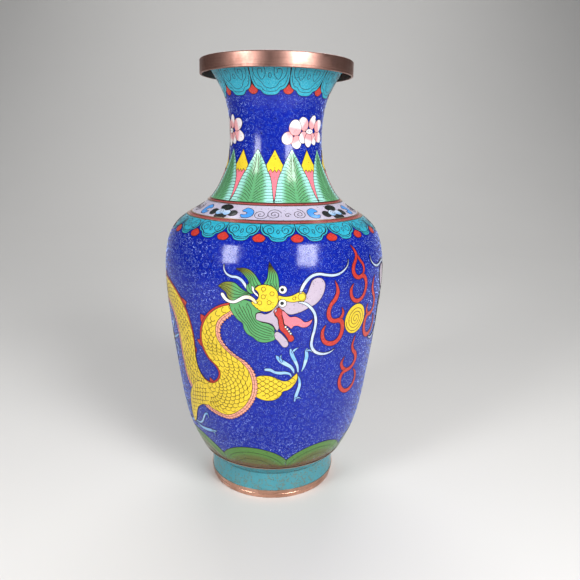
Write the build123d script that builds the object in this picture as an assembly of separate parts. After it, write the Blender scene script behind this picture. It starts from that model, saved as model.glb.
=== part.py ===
from build123d import *
import math
import os

# Cloisonne vase: brazed copper shells, enamel laid between wires, turned copper rim and foot.
# Millimetres. Origin at the centre of the foot's resting face, +Z up, the front of the vase at -Y.

# ---------------------------------------------------------------- driving dimensions
vase_height = 305.0
rim_radius = 52.1
rim_depth = 9.4
foot_radius = 47.7
foot_bottom_radius = 46.5
foot_rim_height = 7.0
foot_top = 20.0

enamel_thickness = 0.8
copper_thickness = 1.2
lining_thickness = 0.5
wire_width = 0.4
hem_wire_width = 0.8
braze_width = 0.5

# Outer enamel surface, (radius, height) from just under the foot joint to just above the mouth.
silhouette_points = [
    (43.5, 17.6), (46.5, 20.0), (52.4, 26.0), (57.3, 34.0), (62.4, 45.5), (67.2, 63.0),
    (71.2, 88.0), (74.8, 115.0), (77.6, 141.0), (78.8, 162.0), (77.6, 179.5), (73.2, 192.6),
    (66.0, 200.6), (57.0, 206.3), (47.0, 213.5), (39.0, 225.5), (33.8, 240.0), (32.2, 255.0),
    (33.1, 270.0), (36.2, 283.0), (42.6, 294.8), (47.0, 301.5), (48.8, 304.4),
]

# Heights of the borders between the enamel bands.
hem_line = 28.4
hem_top = 30.4
lower_fillet_bottom = 203.0
lower_fillet_top = 204.6
upper_fillet_bottom = 212.7
upper_fillet_top = 214.2
shell_top = 301.5
border_heights = [hem_top, lower_fillet_bottom, lower_fillet_top, upper_fillet_bottom, upper_fillet_top]

# Heights at which the four copper shells are brazed together.
belly_joint = 165.0
neck_joint = 212.0
flare_joint = 256.0

# Ornament: how many repeats round the vase and the turn of the first, in degrees from the front.
hill_count, hill_turn = 8, -13.0
shoulder_cloud_count, shoulder_cloud_turn = 19, 1.6
collar_cloud_count, collar_cloud_turn = 10, -6.0
leaf_count, leaf_turn = 9, 19.0
blossom_turns = (38.5, 162.5, 286.9)
flower_turns = (-38.4, 46.5, 137.5, 228.5)
pearl_turn = 43.7

# Ornament: height of each motif's middle, and its sizes.
hill_height, hill_radius = 21.0, 28.5
pearl_height, pearl_radius = 141.2, 10.3
shoulder_drop_height, shoulder_drop_width, shoulder_drop_length = 193.6, 7.9, 8.0
shoulder_cloud_height, shoulder_cloud_width, shoulder_cloud_drop, shoulder_cloud_rise = 198.6, 23.4, 8.0, 9.0
flower_height, flower_heart_radius = 208.6, 2.4
flower_petal_radius, flower_petal_spread, flower_petal_count = 2.6, 4.0, 5
leaf_height = 231.0
blossom_height = 259.5
blossom_petal_radius, blossom_petal_spread, blossom_petal_count = 5.2, 6.6, 6
collar_drop_height, collar_drop_width, collar_drop_length = 284.6, 6.4, 7.0
collar_cloud_height, collar_cloud_width, collar_cloud_drop, collar_cloud_rise = 289.5, 23.9, 8.4, 14.0

# Half width and place up the surface of the leaf's and the bud's corners, from the leaf's middle.
leaf_foot, leaf_shoulder, leaf_tip = (17.0, -21.0), (6.4, 8.0), 19.0
bud_half_width, bud_root, bud_split, bud_belly, bud_tip = 5.9, -20.5, 3.1, 7.6, 18.2

# Reach of a motif's cutter to either side of the enamel surface.
cutter_reach = 9.0


# ---------------------------------------------------------------- surface and layers
outline = Spline(*[(radius, 0, height) for radius, height in silhouette_points])


def station(height):
    """Place along the silhouette (0 to 1) at a height above the table."""
    low, high = 0.0, 1.0
    for _ in range(40):
        middle = (low + high) / 2
        if (outline @ middle).Z < height:
            low = middle
        else:
            high = middle
    return (low + high) / 2


def depth_point(place, depth):
    """Point at a depth inside the enamel surface, square to it."""
    point, along = outline @ place, outline % place
    return Vector(point.X - depth * along.Z, 0, point.Z + depth * along.X)


def layer(outer_depth, inner_depth):
    """Solid of revolution between two depths under the enamel surface."""
    count = 30
    places = [index / count for index in range(count + 1)]
    outer = Spline(*[depth_point(place, outer_depth) for place in places])
    inner = Spline(*[depth_point(place, inner_depth) for place in reversed(places)])
    edges = [outer, Line(outer @ 1, inner @ 0), inner, Line(inner @ 1, outer @ 0)]
    return revolve(make_face(edges), Axis.Z)


def slab(bottom, top):
    """Wide disc that trims a layer between two heights."""
    return Pos(0, 0, (bottom + top) / 2) * Cylinder(rim_radius * 2, top - bottom)


def ring(profile):
    """Turned ring from a closed list of (radius, height) corners."""
    return revolve(make_face(Polyline(*[(r, 0, z) for r, z in profile], close=True)), Axis.Z)


def motif_plane(turn, height):
    """Plane touching the enamel, x to the right and y up the surface, seen from outside."""
    place = station(height)
    point, along = outline @ place, outline % place
    angle = math.radians(turn - 90)
    cosine, sine = math.cos(angle), math.sin(angle)
    return Plane(
        origin=(point.X * cosine, point.X * sine, point.Z),
        x_dir=(-sine, cosine, 0),
        z_dir=(along.Z * cosine, along.Z * sine, -along.X),
    )


def turns(count, first):
    """Turns of a motif repeated evenly round the vase."""
    return [first + index * 360 / count for index in range(count)]


def prisms(shape, motif_turns, height):
    """A flat shape pushed square through the enamel at each turn."""
    return [
        extrude(motif_plane(turn, height) * shape, amount=cutter_reach, both=True)
        for turn in motif_turns
    ]


def joined(solids):
    """One shape from a list of solids."""
    return solids[0].fuse(*solids[1:]) if len(solids) > 1 else solids[0]


def inlay(field, cutters):
    """Splits an enamel field into the pieces inside the cutters and what is left round them."""
    cutter = joined(cutters)
    return field & cutter, field - cutter


def fenced_ring(field, cutters, fence_turns):
    """Row of touching motifs, the wire plates that part them, and the field left round them."""
    ring, rest = inlay(field, cutters)
    fences = joined([
        Rot(0, 0, turn - 90) * Pos(rim_radius, 0, vase_height / 2) * Box(rim_radius, wire_width, vase_height)
        for turn in fence_turns
    ])
    return ring - fences, ring & fences, rest


# ---------------------------------------------------------------- layers of the wall
enamel = layer(0, enamel_thickness)
copper = layer(enamel_thickness, enamel_thickness + copper_thickness)
lining = layer(enamel_thickness + copper_thickness, enamel_thickness + copper_thickness + lining_thickness)

nodes = {}

# ---------------------------------------------------------------- copper shells and brazing
half_braze = braze_width / 2
nodes["belly_shell"] = copper & slab(foot_top, belly_joint - half_braze)
nodes["belly_braze"] = copper & slab(belly_joint - half_braze, belly_joint + half_braze)
nodes["shoulder_shell"] = copper & slab(belly_joint + half_braze, neck_joint - half_braze)
nodes["neck_braze"] = copper & slab(neck_joint - half_braze, neck_joint + half_braze)
nodes["neck_shell"] = copper & slab(neck_joint + half_braze, flare_joint - half_braze)
nodes["flare_braze"] = copper & slab(flare_joint - half_braze, flare_joint + half_braze)
nodes["mouth_flare"] = copper & slab(flare_joint + half_braze, shell_top)

# ---------------------------------------------------------------- foot
plate_thickness = 1.2
plate_radius = foot_bottom_radius - enamel_thickness
plate_bottom = foot_top - plate_thickness
band_top = plate_bottom - braze_width
band_outer_low = foot_radius - enamel_thickness
band_inner_low = band_outer_low - copper_thickness
band_inner_high = plate_radius - copper_thickness
foot_rim_inner = 43.5
edge_round = 0.8

nodes["base_plate"] = Pos(0, 0, plate_bottom + plate_thickness / 2) * Cylinder(plate_radius, plate_thickness)
nodes["foot_band"] = ring([
    (band_outer_low, foot_rim_height), (plate_radius, band_top),
    (band_inner_high, band_top), (band_inner_low, foot_rim_height),
])
nodes["foot_braze"] = ring([
    (plate_radius, band_top), (plate_radius, plate_bottom),
    (band_inner_high, plate_bottom), (band_inner_high, band_top),
])
foot_rim = ring([
    (foot_bottom_radius, 0), (foot_radius, foot_rim_height),
    (foot_rim_inner, foot_rim_height), (foot_rim_inner, 0),
])
nodes["foot_rim"] = fillet(foot_rim.edges().group_by(Axis.Z)[0], edge_round)
nodes["foot_enamel"] = ring([
    (foot_radius, foot_rim_height), (foot_bottom_radius, foot_top),
    (plate_radius, foot_top), (plate_radius, band_top), (band_outer_low, foot_rim_height),
])

# ---------------------------------------------------------------- mouth rim
rim_wall = 1.5
rim_bottom = vase_height - rim_depth
lip_inner = 41.2
lip_outer = 42.4
lip_bottom = 300.3
flange_bottom = vase_height - rim_wall
mouth_rim = ring([
    (rim_radius, rim_bottom), (rim_radius, vase_height), (lip_inner, vase_height),
    (lip_inner, lip_bottom), (lip_outer, lip_bottom), (lip_outer, flange_bottom),
    (rim_radius - rim_wall, flange_bottom), (rim_radius - rim_wall, rim_bottom),
])
nodes["mouth_rim"] = fillet(mouth_rim.edges().group_by(Axis.Z)[-1], edge_round)
shell_end = 1.0
solder_outer = (copper & slab(shell_top - shell_end, shell_top)).bounding_box().max.X
solder_inner = solder_outer - copper_thickness
nodes["rim_solder"] = ring([
    (solder_outer, shell_top), (solder_outer, flange_bottom),
    (solder_inner, flange_bottom), (solder_inner, shell_top),
])

# ---------------------------------------------------------------- inside enamel
base_lining_radius = 43.0
underside_gap = 0.2
nodes["base_lining"] = Pos(0, 0, foot_top + lining_thickness / 2) * Cylinder(
    base_lining_radius, lining_thickness
)
nodes["body_lining"] = lining & slab(foot_top + lining_thickness, neck_joint)
nodes["neck_lining"] = lining & slab(neck_joint, shell_top - shell_end)
nodes["underside_enamel"] = Pos(0, 0, plate_bottom - lining_thickness / 2) * Cylinder(
    band_inner_high - underside_gap, lining_thickness
)

# ---------------------------------------------------------------- plain bands and border wires
half_wire, half_hem_wire = wire_width / 2, hem_wire_width / 2
border_rings = [enamel & slab(height - half_wire, height + half_wire) for height in border_heights]
border_rings.append(enamel & slab(hem_line - half_hem_wire, hem_line + half_hem_wire))
nodes["border_wires"] = [solid for border in border_rings for solid in border.solids()]
nodes["hem_turquoise"] = enamel & slab(foot_top, hem_line - half_hem_wire)
nodes["hem_enamel"] = enamel & slab(hem_line + half_hem_wire, hem_top - half_wire)
nodes["lower_fillet"] = enamel & slab(lower_fillet_bottom + half_wire, lower_fillet_top - half_wire)
nodes["upper_fillet"] = enamel & slab(upper_fillet_bottom + half_wire, upper_fillet_top - half_wire)


# ---------------------------------------------------------------- ornament shapes
def cloud(width, drop, rise):
    """Trefoil cloud head: a low middle lobe, two higher side lobes, square and wide at the top."""
    middle_lobe, side_lobe, side_drop, overlap = width * 0.27, width * 0.24, drop * 0.62, 1.4
    shape = Pos(0, middle_lobe - drop) * Circle(middle_lobe)
    for side in (-1, 1):
        shape += Pos(side * middle_lobe, side_lobe - side_drop) * Circle(side_lobe)
    return shape + Pos(0, rise / 2) * Rectangle(width * overlap, rise)


def drop_shape(width, length):
    """Rounded drop with its point up."""
    half_point, point_low, point_high = width * 0.4, length * 0.3, length * 0.92
    point = Polygon((-half_point, point_low), (half_point, point_low), (0, point_high), align=None)
    return Circle(width / 2) + point


def bud(half_width, root, belly, tip):
    """Kite of a closed bud: a long root below and a short tip above its widest place."""
    return Polygon((0, root), (half_width, belly), (0, tip), (-half_width, belly), align=None)


def petals(radius, spread, count):
    """Ring of round petals about a middle."""
    shape = Circle(radius)
    for step in range(count):
        angle = math.radians(step * 360 / count)
        shape += Pos(spread * math.cos(angle), spread * math.sin(angle)) * Circle(radius)
    return shape


# ---------------------------------------------------------------- body field
body_field = enamel & slab(hem_top + half_wire, lower_fillet_bottom - half_wire)

hill_cutters = []
for turn in turns(hill_count, hill_turn):
    angle = math.radians(turn - 90)
    outward = (math.cos(angle), math.sin(angle), 0)
    axis_plane = Plane(origin=(0, 0, hill_height), x_dir=(-outward[1], outward[0], 0), z_dir=outward)
    hill_cutters.append(extrude(axis_plane * Circle(hill_radius), amount=rim_radius * 2))
hills, body_field = inlay(body_field, hill_cutters)
nodes["hill_enamel"] = hills

shoulder_drop_turn = shoulder_cloud_turn + 180 / shoulder_cloud_count
drops, body_field = inlay(body_field, prisms(
    drop_shape(shoulder_drop_width, shoulder_drop_length),
    turns(shoulder_cloud_count, shoulder_drop_turn), shoulder_drop_height,
))
clouds, shoulder_fences, body_field = fenced_ring(
    body_field,
    prisms(
        cloud(shoulder_cloud_width, shoulder_cloud_drop, shoulder_cloud_rise),
        turns(shoulder_cloud_count, shoulder_cloud_turn), shoulder_cloud_height,
    ),
    turns(shoulder_cloud_count, shoulder_drop_turn),
)
nodes["shoulder_drops"] = drops
nodes["shoulder_clouds"] = clouds
pearl, body_field = inlay(body_field, prisms(Circle(pearl_radius), [pearl_turn], pearl_height))
nodes["pearl_enamel"] = pearl
nodes["body_ground"] = body_field

# ---------------------------------------------------------------- flower band
flower_field = enamel & slab(lower_fillet_top + half_wire, upper_fillet_bottom - half_wire)
hearts, flower_field = inlay(flower_field, prisms(Circle(flower_heart_radius), flower_turns, flower_height))
flower_shape = petals(flower_petal_radius, flower_petal_spread, flower_petal_count)
flowers, flower_field = inlay(flower_field, prisms(flower_shape, flower_turns, flower_height))
nodes["flower_hearts"] = hearts
nodes["flower_petals"] = flowers
nodes["flower_band"] = flower_field

# ---------------------------------------------------------------- neck field
neck_field = enamel & slab(upper_fillet_top + half_wire, shell_top)
bud_turns = turns(leaf_count, leaf_turn + 180 / leaf_count)
tips, neck_field = inlay(neck_field, prisms(
    bud(bud_half_width, bud_split, bud_belly, bud_tip), bud_turns, leaf_height,
))
roots, neck_field = inlay(neck_field, prisms(
    bud(bud_half_width, bud_root, bud_belly, bud_tip), bud_turns, leaf_height,
))
leaf_right = [leaf_foot, leaf_shoulder]
leaf_left = [(-across, up) for across, up in reversed(leaf_right)]
leaf_shape = Polygon(*leaf_right, (0, leaf_tip), *leaf_left, align=None)
leaves, leaf_fences, neck_field = fenced_ring(
    neck_field, prisms(leaf_shape, turns(leaf_count, leaf_turn), leaf_height), bud_turns,
)
nodes["bud_tips"] = tips
nodes["bud_roots"] = roots
nodes["lappet_leaves"] = leaves

blossom_shape = petals(blossom_petal_radius, blossom_petal_spread, blossom_petal_count)
blossoms, neck_field = inlay(
    neck_field, prisms(blossom_shape, blossom_turns, blossom_height)
)
nodes["neck_blossoms"] = blossoms

collar_drop_turns = turns(collar_cloud_count, collar_cloud_turn + 180 / collar_cloud_count)
drops, neck_field = inlay(neck_field, prisms(
    drop_shape(collar_drop_width, collar_drop_length), collar_drop_turns, collar_drop_height,
))
clouds, collar_fences, neck_field = fenced_ring(
    neck_field,
    prisms(
        cloud(collar_cloud_width, collar_cloud_drop, collar_cloud_rise),
        turns(collar_cloud_count, collar_cloud_turn), collar_cloud_height,
    ),
    collar_drop_turns,
)
nodes["collar_drops"] = drops
nodes["collar_clouds"] = clouds
nodes["neck_ground"] = max(neck_field.solids(), key=lambda solid: solid.volume)
nodes["motif_wires"] = [
    solid for fences in (shoulder_fences, leaf_fences, collar_fences) for solid in fences.solids()
]

# ---------------------------------------------------------------- files
os.makedirs("parts", exist_ok=True)
for name, shape in nodes.items():
    solids = shape if isinstance(shape, list) else list(shape.solids())
    export_step(solids[0] if len(solids) == 1 else Compound(children=solids), f"parts/{name}.step")
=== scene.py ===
import math
import random

import bpy
import numpy as np
from mathutils import Matrix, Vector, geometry


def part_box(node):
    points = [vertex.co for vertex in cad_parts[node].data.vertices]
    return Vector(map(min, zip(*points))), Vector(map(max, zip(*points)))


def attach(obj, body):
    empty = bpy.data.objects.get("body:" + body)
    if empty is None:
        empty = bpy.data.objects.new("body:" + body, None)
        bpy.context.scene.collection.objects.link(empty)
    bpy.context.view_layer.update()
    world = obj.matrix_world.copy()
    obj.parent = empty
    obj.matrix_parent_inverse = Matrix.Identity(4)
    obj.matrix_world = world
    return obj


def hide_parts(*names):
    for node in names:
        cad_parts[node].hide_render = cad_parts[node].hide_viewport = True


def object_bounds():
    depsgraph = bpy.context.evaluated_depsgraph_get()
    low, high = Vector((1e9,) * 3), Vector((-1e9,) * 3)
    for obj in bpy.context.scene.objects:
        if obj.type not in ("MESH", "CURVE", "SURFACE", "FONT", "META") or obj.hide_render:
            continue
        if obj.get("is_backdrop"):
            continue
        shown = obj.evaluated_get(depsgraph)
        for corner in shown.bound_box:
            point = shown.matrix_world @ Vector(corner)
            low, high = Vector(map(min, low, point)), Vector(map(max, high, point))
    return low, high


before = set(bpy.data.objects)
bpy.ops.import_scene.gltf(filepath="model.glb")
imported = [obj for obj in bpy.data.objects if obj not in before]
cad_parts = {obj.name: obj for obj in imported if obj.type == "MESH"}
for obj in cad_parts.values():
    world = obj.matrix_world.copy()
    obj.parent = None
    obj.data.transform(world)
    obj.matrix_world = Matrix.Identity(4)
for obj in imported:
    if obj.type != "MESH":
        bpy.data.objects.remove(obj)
cad_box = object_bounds()

# Cloisonne vase. Drawn in millimetres and written to Blender in metres. Ornament is laid out on the
# enamel surface as (across, along): across is an arc length at the zone's reference radius, counted
# from the front of the vase to the right, and along is the length up the surface from ALONG_ZERO.
MM = 0.001
BODY_REF = 78.6
NECK_REF = 38.0
BAND_REF = 54.0
HILL_REF = 60.0

# The ground of each enamel band lies this far under the CAD surface, so that the wires end flush with it.
GROUND_DEPTH = 0.3
ENAMEL = 0.8
# Cells and their wires stand proud of the ground by a little more for each level they overlap, and are
# sunk in it underneath.
CELL_LIFT, CELL_SINK = 0.09, 0.2
WIRE_LIFT, WIRE_SINK = 0.13, 0.15
CURL_LIFT, CURL_WIDTH = 0.09, 0.30
LEVEL_STEP = 0.05

# Heights of the borders between the bands.
HEM_LINE, HEM_TOP = 28.4, 30.4
LOWER_FILLET, UPPER_FILLET, MOUTH = (203.0, 204.6), (212.7, 214.2), 301.5

# How many of a motif go round the vase, and the turn of the first from the front in degrees.
HILLS_ROUND = 8, -13.0
SHOULDER_CLOUDS = 19, 1.6
COLLAR_CLOUDS = 10, -6.0
LEAVES = 9, 19.0
FLOWER_TURNS = (-38.4, 46.5, 137.5, 228.5)
SPRAY_TURNS = (0, 124, 248.4)
# Place across that the second dragon is mirrored about.
DRAGON_MIRROR = 62.5

random.seed(7)


# -------------------- enamel surface
# Outer enamel surface, (radius, height).
SILHOUETTE = [
    (43.5, 17.6), (46.5, 20.0), (52.4, 26.0), (57.3, 34.0), (62.4, 45.5), (67.2, 63.0), (71.2, 88.0),
    (74.8, 115.0), (77.6, 141.0), (78.8, 162.0), (77.6, 179.5), (73.2, 192.6), (66.0, 200.6),
    (57.0, 206.3), (47.0, 213.5), (39.0, 225.5), (33.8, 240.0), (32.2, 255.0), (33.1, 270.0),
    (36.2, 283.0), (42.6, 294.8), (47.0, 301.5), (48.8, 304.4),
]
ALONG_ZERO = 21.0


def path_length(path):
    """Length along a path at each of its points."""
    return np.r_[0, np.cumsum(np.hypot(*np.diff(path, axis=0).T))]


def natural_spline(points, samples):
    """Smooth curve through points, evenly sampled, with no bend at its ends."""
    p = np.array(points, float)
    t = path_length(p)
    h = np.diff(t)
    n = len(p)
    rows, right = np.eye(n), np.zeros((n, 2))
    for i in range(1, n - 1):
        rows[i, i - 1:i + 2] = h[i - 1], 2 * (h[i - 1] + h[i]), h[i]
        right[i] = 6 * ((p[i + 1] - p[i]) / h[i] - (p[i] - p[i - 1]) / h[i - 1])
    bend = np.linalg.solve(rows, right)
    x = np.linspace(0, t[-1], samples)
    i = np.clip(np.searchsorted(t, x) - 1, 0, n - 2)
    a, b, w = (t[i + 1] - x)[:, None], (x - t[i])[:, None], h[i][:, None]
    return (
        (bend[i] * a ** 3 + bend[i + 1] * b ** 3) / (6 * w)
        + (p[i] / w - bend[i] * w / 6) * a + (p[i + 1] / w - bend[i + 1] * w / 6) * b
    )


class Zone:
    """Surface turned from a (radius, height) line, with the radius that lengths across are measured at."""

    def __init__(self, name, line, ref, zero):
        self.name, self.line, self.ref = name, line, ref
        self.s = path_length(line)
        self.s -= np.interp(zero, line[:, 1], self.s)
        self.slope = np.gradient(line, axis=0)
        self.slope /= np.linalg.norm(self.slope, axis=1)[:, None]
        self.around = 2 * math.pi * ref
        self.taken = []

    def along(self, z):
        """Length along the surface at a height."""
        return float(np.interp(z, self.line[:, 1], self.s))

    def stretch(self, along):
        """How much wider a length across is drawn than it is on the surface."""
        return self.ref / np.interp(along, self.s, self.line[:, 0])

    def lay(self, points, lift=0.0):
        """Positions in metres of (across, along) points raised off the surface by lift."""
        points = np.asarray(points, float)
        r, z, tr, tz = (np.interp(points[:, 1], self.s, v) for v in (*self.line.T, *self.slope.T))
        lift = lift - GROUND_DEPTH
        r, z, turn = r + lift * tz, z - lift * tr, points[:, 0] / self.ref
        return np.stack([r * np.sin(turn), -r * np.cos(turn), z], axis=1) * MM

    def facing(self, points):
        """Outward directions at (across, along) points."""
        points = np.asarray(points, float)
        tr, tz = (np.interp(points[:, 1], self.s, v) for v in self.slope.T)
        turn = points[:, 0] / self.ref
        return np.stack([tz * np.sin(turn), -tz * np.cos(turn), -tr], axis=1)


def node_low(node):
    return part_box(node)[0].z / MM


def node_high(node):
    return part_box(node)[1].z / MM


vase_line = natural_spline(SILHOUETTE, 6000)
foot_low, foot_high = node_low("foot_enamel"), node_high("foot_enamel")
foot_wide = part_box("foot_enamel")[1].x / MM
FOOT_TAPER = 1.2
foot_line = np.array([(foot_wide, foot_low), (foot_wide - FOOT_TAPER, foot_high)])
BODY = Zone("body", vase_line, BODY_REF, ALONG_ZERO)
NECK = Zone("neck", vase_line, NECK_REF, ALONG_ZERO)
BAND = Zone("band", vase_line, BAND_REF, ALONG_ZERO)
HILLS = Zone("hill", vase_line, HILL_REF, ALONG_ZERO)
FOOT = Zone("foot", foot_line, foot_wide, foot_low)


# -------------------- meshes
class Piece:
    """Gathers faces for one Blender object."""

    def __init__(self, name, slot, material, replaces=(), sharp=35):
        self.name, self.slot, self.material = name, slot, material
        self.replaces, self.sharp = replaces, sharp
        self.points, self.faces, self.tints, self.count = [], [], [], 0

    def add(self, points, faces, tint=None):
        """points: (n, 3) array in metres. faces: list of (m, k) arrays of indices."""
        self.points.append(points)
        self.tints.append(np.zeros(len(points)) if tint is None else np.asarray(tint, float))
        self.faces += [np.asarray(f, np.int64) + self.count for f in faces if len(f)]
        self.count += len(points)

    def build(self):
        mesh = bpy.data.meshes.new(self.name)
        points = np.concatenate(self.points).astype(np.float32)
        totals = np.concatenate([np.full(len(f), f.shape[1]) for f in self.faces])
        corners = np.concatenate([f.ravel() for f in self.faces])
        mesh.vertices.add(len(points))
        mesh.vertices.foreach_set("co", points.ravel())
        mesh.loops.add(len(corners))
        mesh.loops.foreach_set("vertex_index", corners.astype(np.int32))
        mesh.polygons.add(len(totals))
        mesh.polygons.foreach_set("loop_start", np.r_[0, np.cumsum(totals)[:-1]].astype(np.int32))
        mesh.polygons.foreach_set("use_smooth", np.ones(len(totals), bool))
        mesh.update(calc_edges=True)
        tint = mesh.attributes.new("tint", "FLOAT", "POINT")
        tint.data.foreach_set("value", np.concatenate(self.tints).astype(np.float32))
        if self.sharp:
            mesh.set_sharp_from_angle(angle=math.radians(self.sharp))
        mesh.materials.append(self.material)
        piece = bpy.data.objects.new(self.name, mesh)
        bpy.context.scene.collection.objects.link(piece)
        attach(piece, "root")
        if self.replaces:
            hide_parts(*self.replaces)


def turned(target, profile, segments=288):
    """Closed ring turned from a closed (radius, height) outline in millimetres."""
    profile = np.asarray(profile, float)
    n = len(profile)
    turn = np.arange(segments) / segments * 2 * math.pi
    points = np.stack([
        np.outer(np.sin(turn), profile[:, 0]),
        np.outer(-np.cos(turn), profile[:, 0]),
        np.tile(profile[:, 1], (segments, 1)),
    ], axis=2).reshape(-1, 3) * MM
    i, j = np.meshgrid(np.arange(segments), np.arange(n), indexing="ij")
    i2, j2 = (i + 1) % segments, (j + 1) % n
    quads = np.stack([i * n + j, i2 * n + j, i2 * n + j2, i * n + j2], axis=2).reshape(-1, 4)
    target.add(points, [quads])


def skin_profile(zone, low, high, step=0.8):
    """Closed outline of the enamel from the ground to the copper, between two lengths along the surface."""
    def row(lift, gap):
        s = np.linspace(low, high, max(2, int((high - low) / gap) + 1))
        at = zone.lay(np.stack([np.zeros(len(s)), s], axis=1), lift) / MM
        return np.stack([-at[:, 1], at[:, 2]], axis=1)
    return np.concatenate([row(0, step), row(GROUND_DEPTH - ENAMEL, step * 3)[::-1]])


# -------------------- drawing in the surface
def smooth(points, closed=False, step=0.7):
    """Rounded line through given points. A third value in a point makes it a sharp corner."""
    p = np.array([q[:2] for q in points], float)
    sharp = [len(q) > 2 for q in points]
    n = len(p)
    spans = n if closed else n - 1
    out = []

    def direction(i):
        if sharp[i] or (not closed and i in (0, n - 1)):
            return None
        before, after = p[i] - p[i - 1], p[(i + 1) % n] - p[i]
        a, b = np.hypot(*before) + 1e-9, np.hypot(*after) + 1e-9
        return (before / a * b + after / b * a) / (a + b)

    for i in range(spans):
        j = (i + 1) % n
        chord = p[j] - p[i]
        length = np.hypot(*chord) + 1e-9
        m0, m1 = direction(i), direction(j)
        m0 = chord / length if m0 is None else m0
        m1 = chord / length if m1 is None else m1
        count = max(2, math.ceil(length / step))
        t = (np.arange(count) / count)[:, None]
        out.append(
            (2 * t ** 3 - 3 * t ** 2 + 1) * p[i] + (t ** 3 - 2 * t ** 2 + t) * length * m0
            + (3 * t ** 2 - 2 * t ** 3) * p[j] + (t ** 3 - t ** 2) * length * m1
        )
    if not closed:
        out.append(p[-1:])
    return np.concatenate(out)


def ribbon(points, step=0.7):
    """Closed outline of a brush stroke through (across, along, half width) points."""
    middle = smooth([q[:2] for q in points], step=step)
    key, run = path_length([q[:2] for q in points]), path_length(middle)
    half = np.interp(run / run[-1], key / key[-1], [q[2] for q in points])
    way = np.gradient(middle, axis=0)
    way /= np.linalg.norm(way, axis=1)[:, None]
    side = np.stack([-way[:, 1], way[:, 0]], axis=1)
    edges = [middle + side * half[:, None], (middle - side * half[:, None])[::-1]]
    for end, centre, towards, width in ((0, middle[-1], way[-1], half[-1]), (1, middle[0], -way[0], half[0])):
        if width > 0.5:
            across = np.array([-towards[1], towards[0]])
            angles = np.linspace(math.pi / 2, -math.pi / 2, 6)[1:-1]
            cap = [centre + width * (math.sin(a) * across + math.cos(a) * towards) for a in angles]
            edges[end] = np.concatenate([edges[end], cap])
    return np.concatenate(edges)


def circle(across, along, radius, step=0.6):
    count = max(12, int(2 * math.pi * radius / step))
    a = np.arange(count) / count * 2 * math.pi
    return np.stack([across + radius * np.cos(a), along + radius * np.sin(a)], axis=1)


def oval(across, along, wide, high):
    a = np.linspace(0, 2 * math.pi, 26)[:-1]
    return np.stack([across + wide * np.cos(a), along + high * np.sin(a)], axis=1)


def spiral(across, along, start, end, turns, phase, hand=1, step=0.5, stretch=1.0):
    """Open spiral from an inner radius to an outer one."""
    count = max(8, int(abs(turns) * math.pi * (start + end) / step))
    t = np.linspace(0, 1, count)
    a = phase + hand * turns * 2 * math.pi * t
    r = start + (end - start) * t
    return np.stack([across + r * stretch * np.cos(a), along + r * np.sin(a)], axis=1)


def inside(outline, points):
    """Which points are inside a closed outline (even-odd rule)."""
    a, b = outline, np.roll(outline, -1, axis=0)
    x, y = points[:, 0:1], points[:, 1:2]
    spans = (a[:, 1] > y) != (b[:, 1] > y)
    with np.errstate(divide="ignore", invalid="ignore"):
        cross = a[:, 0] + (y - a[:, 1]) * (b[:, 0] - a[:, 0]) / (b[:, 1] - a[:, 1])
    return (spans & (x < cross)).sum(axis=1) % 2 == 1


def cell(target, outline, lift, zone, tint, grid):
    """Enamel field with that outline, following the surface: a thin closed plate sunk in the ground."""
    outline = np.asarray(outline, float)
    keep = np.hypot(*(outline - np.roll(outline, 1, axis=0)).T) > 1e-3
    outline = outline[keep]
    low, high = outline.min(axis=0), outline.max(axis=0)
    xs, ys = np.arange(low[0] + grid / 2, high[0], grid), np.arange(low[1] + grid / 2, high[1], grid)
    if len(xs) and len(ys):
        mesh = np.stack(np.meshgrid(xs, ys), axis=2).reshape(-1, 2)
        mesh = mesh[inside(outline, mesh)]
        if len(mesh):
            gap = np.linalg.norm(mesh[:, None] - outline[None], axis=2).min(axis=1)
            mesh = mesh[gap > grid * 0.35]
    else:
        mesh = np.zeros((0, 2))
    n = len(outline)
    edges = [(i, (i + 1) % n) for i in range(n)]
    verts, _, faces, *_ = geometry.delaunay_2d_cdt(
        [tuple(q) for q in np.concatenate([outline, mesh])], edges, [], 1, 1e-5
    )
    flat = np.array([tuple(v) for v in verts])
    tris = np.array([f for f in faces if len(f) == 3], np.int64)
    if not len(tris):
        return
    a, b, c = flat[tris[:, 0]], flat[tris[:, 1]], flat[tris[:, 2]]
    area = (b[:, 0] - a[:, 0]) * (c[:, 1] - a[:, 1]) - (b[:, 1] - a[:, 1]) * (c[:, 0] - a[:, 0])
    tris[area < 0] = tris[area < 0][:, ::-1]
    directed = dict.fromkeys((tri[k], tri[(k + 1) % 3]) for tri in tris for k in range(3))
    rim = np.array([e for e in directed if (e[1], e[0]) not in directed], np.int64).reshape(-1, 2)
    count = len(flat)
    points = np.concatenate([zone.lay(flat, lift), zone.lay(flat, -CELL_SINK)])
    walls = np.stack([rim[:, 0], rim[:, 0] + count, rim[:, 1] + count, rim[:, 1]], axis=1)
    shade = np.zeros(count) if tint is None else np.clip(tint(flat), 0, 1)
    target.add(points, [tris, tris[:, ::-1] + count, walls], np.concatenate([shade, shade]))


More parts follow.
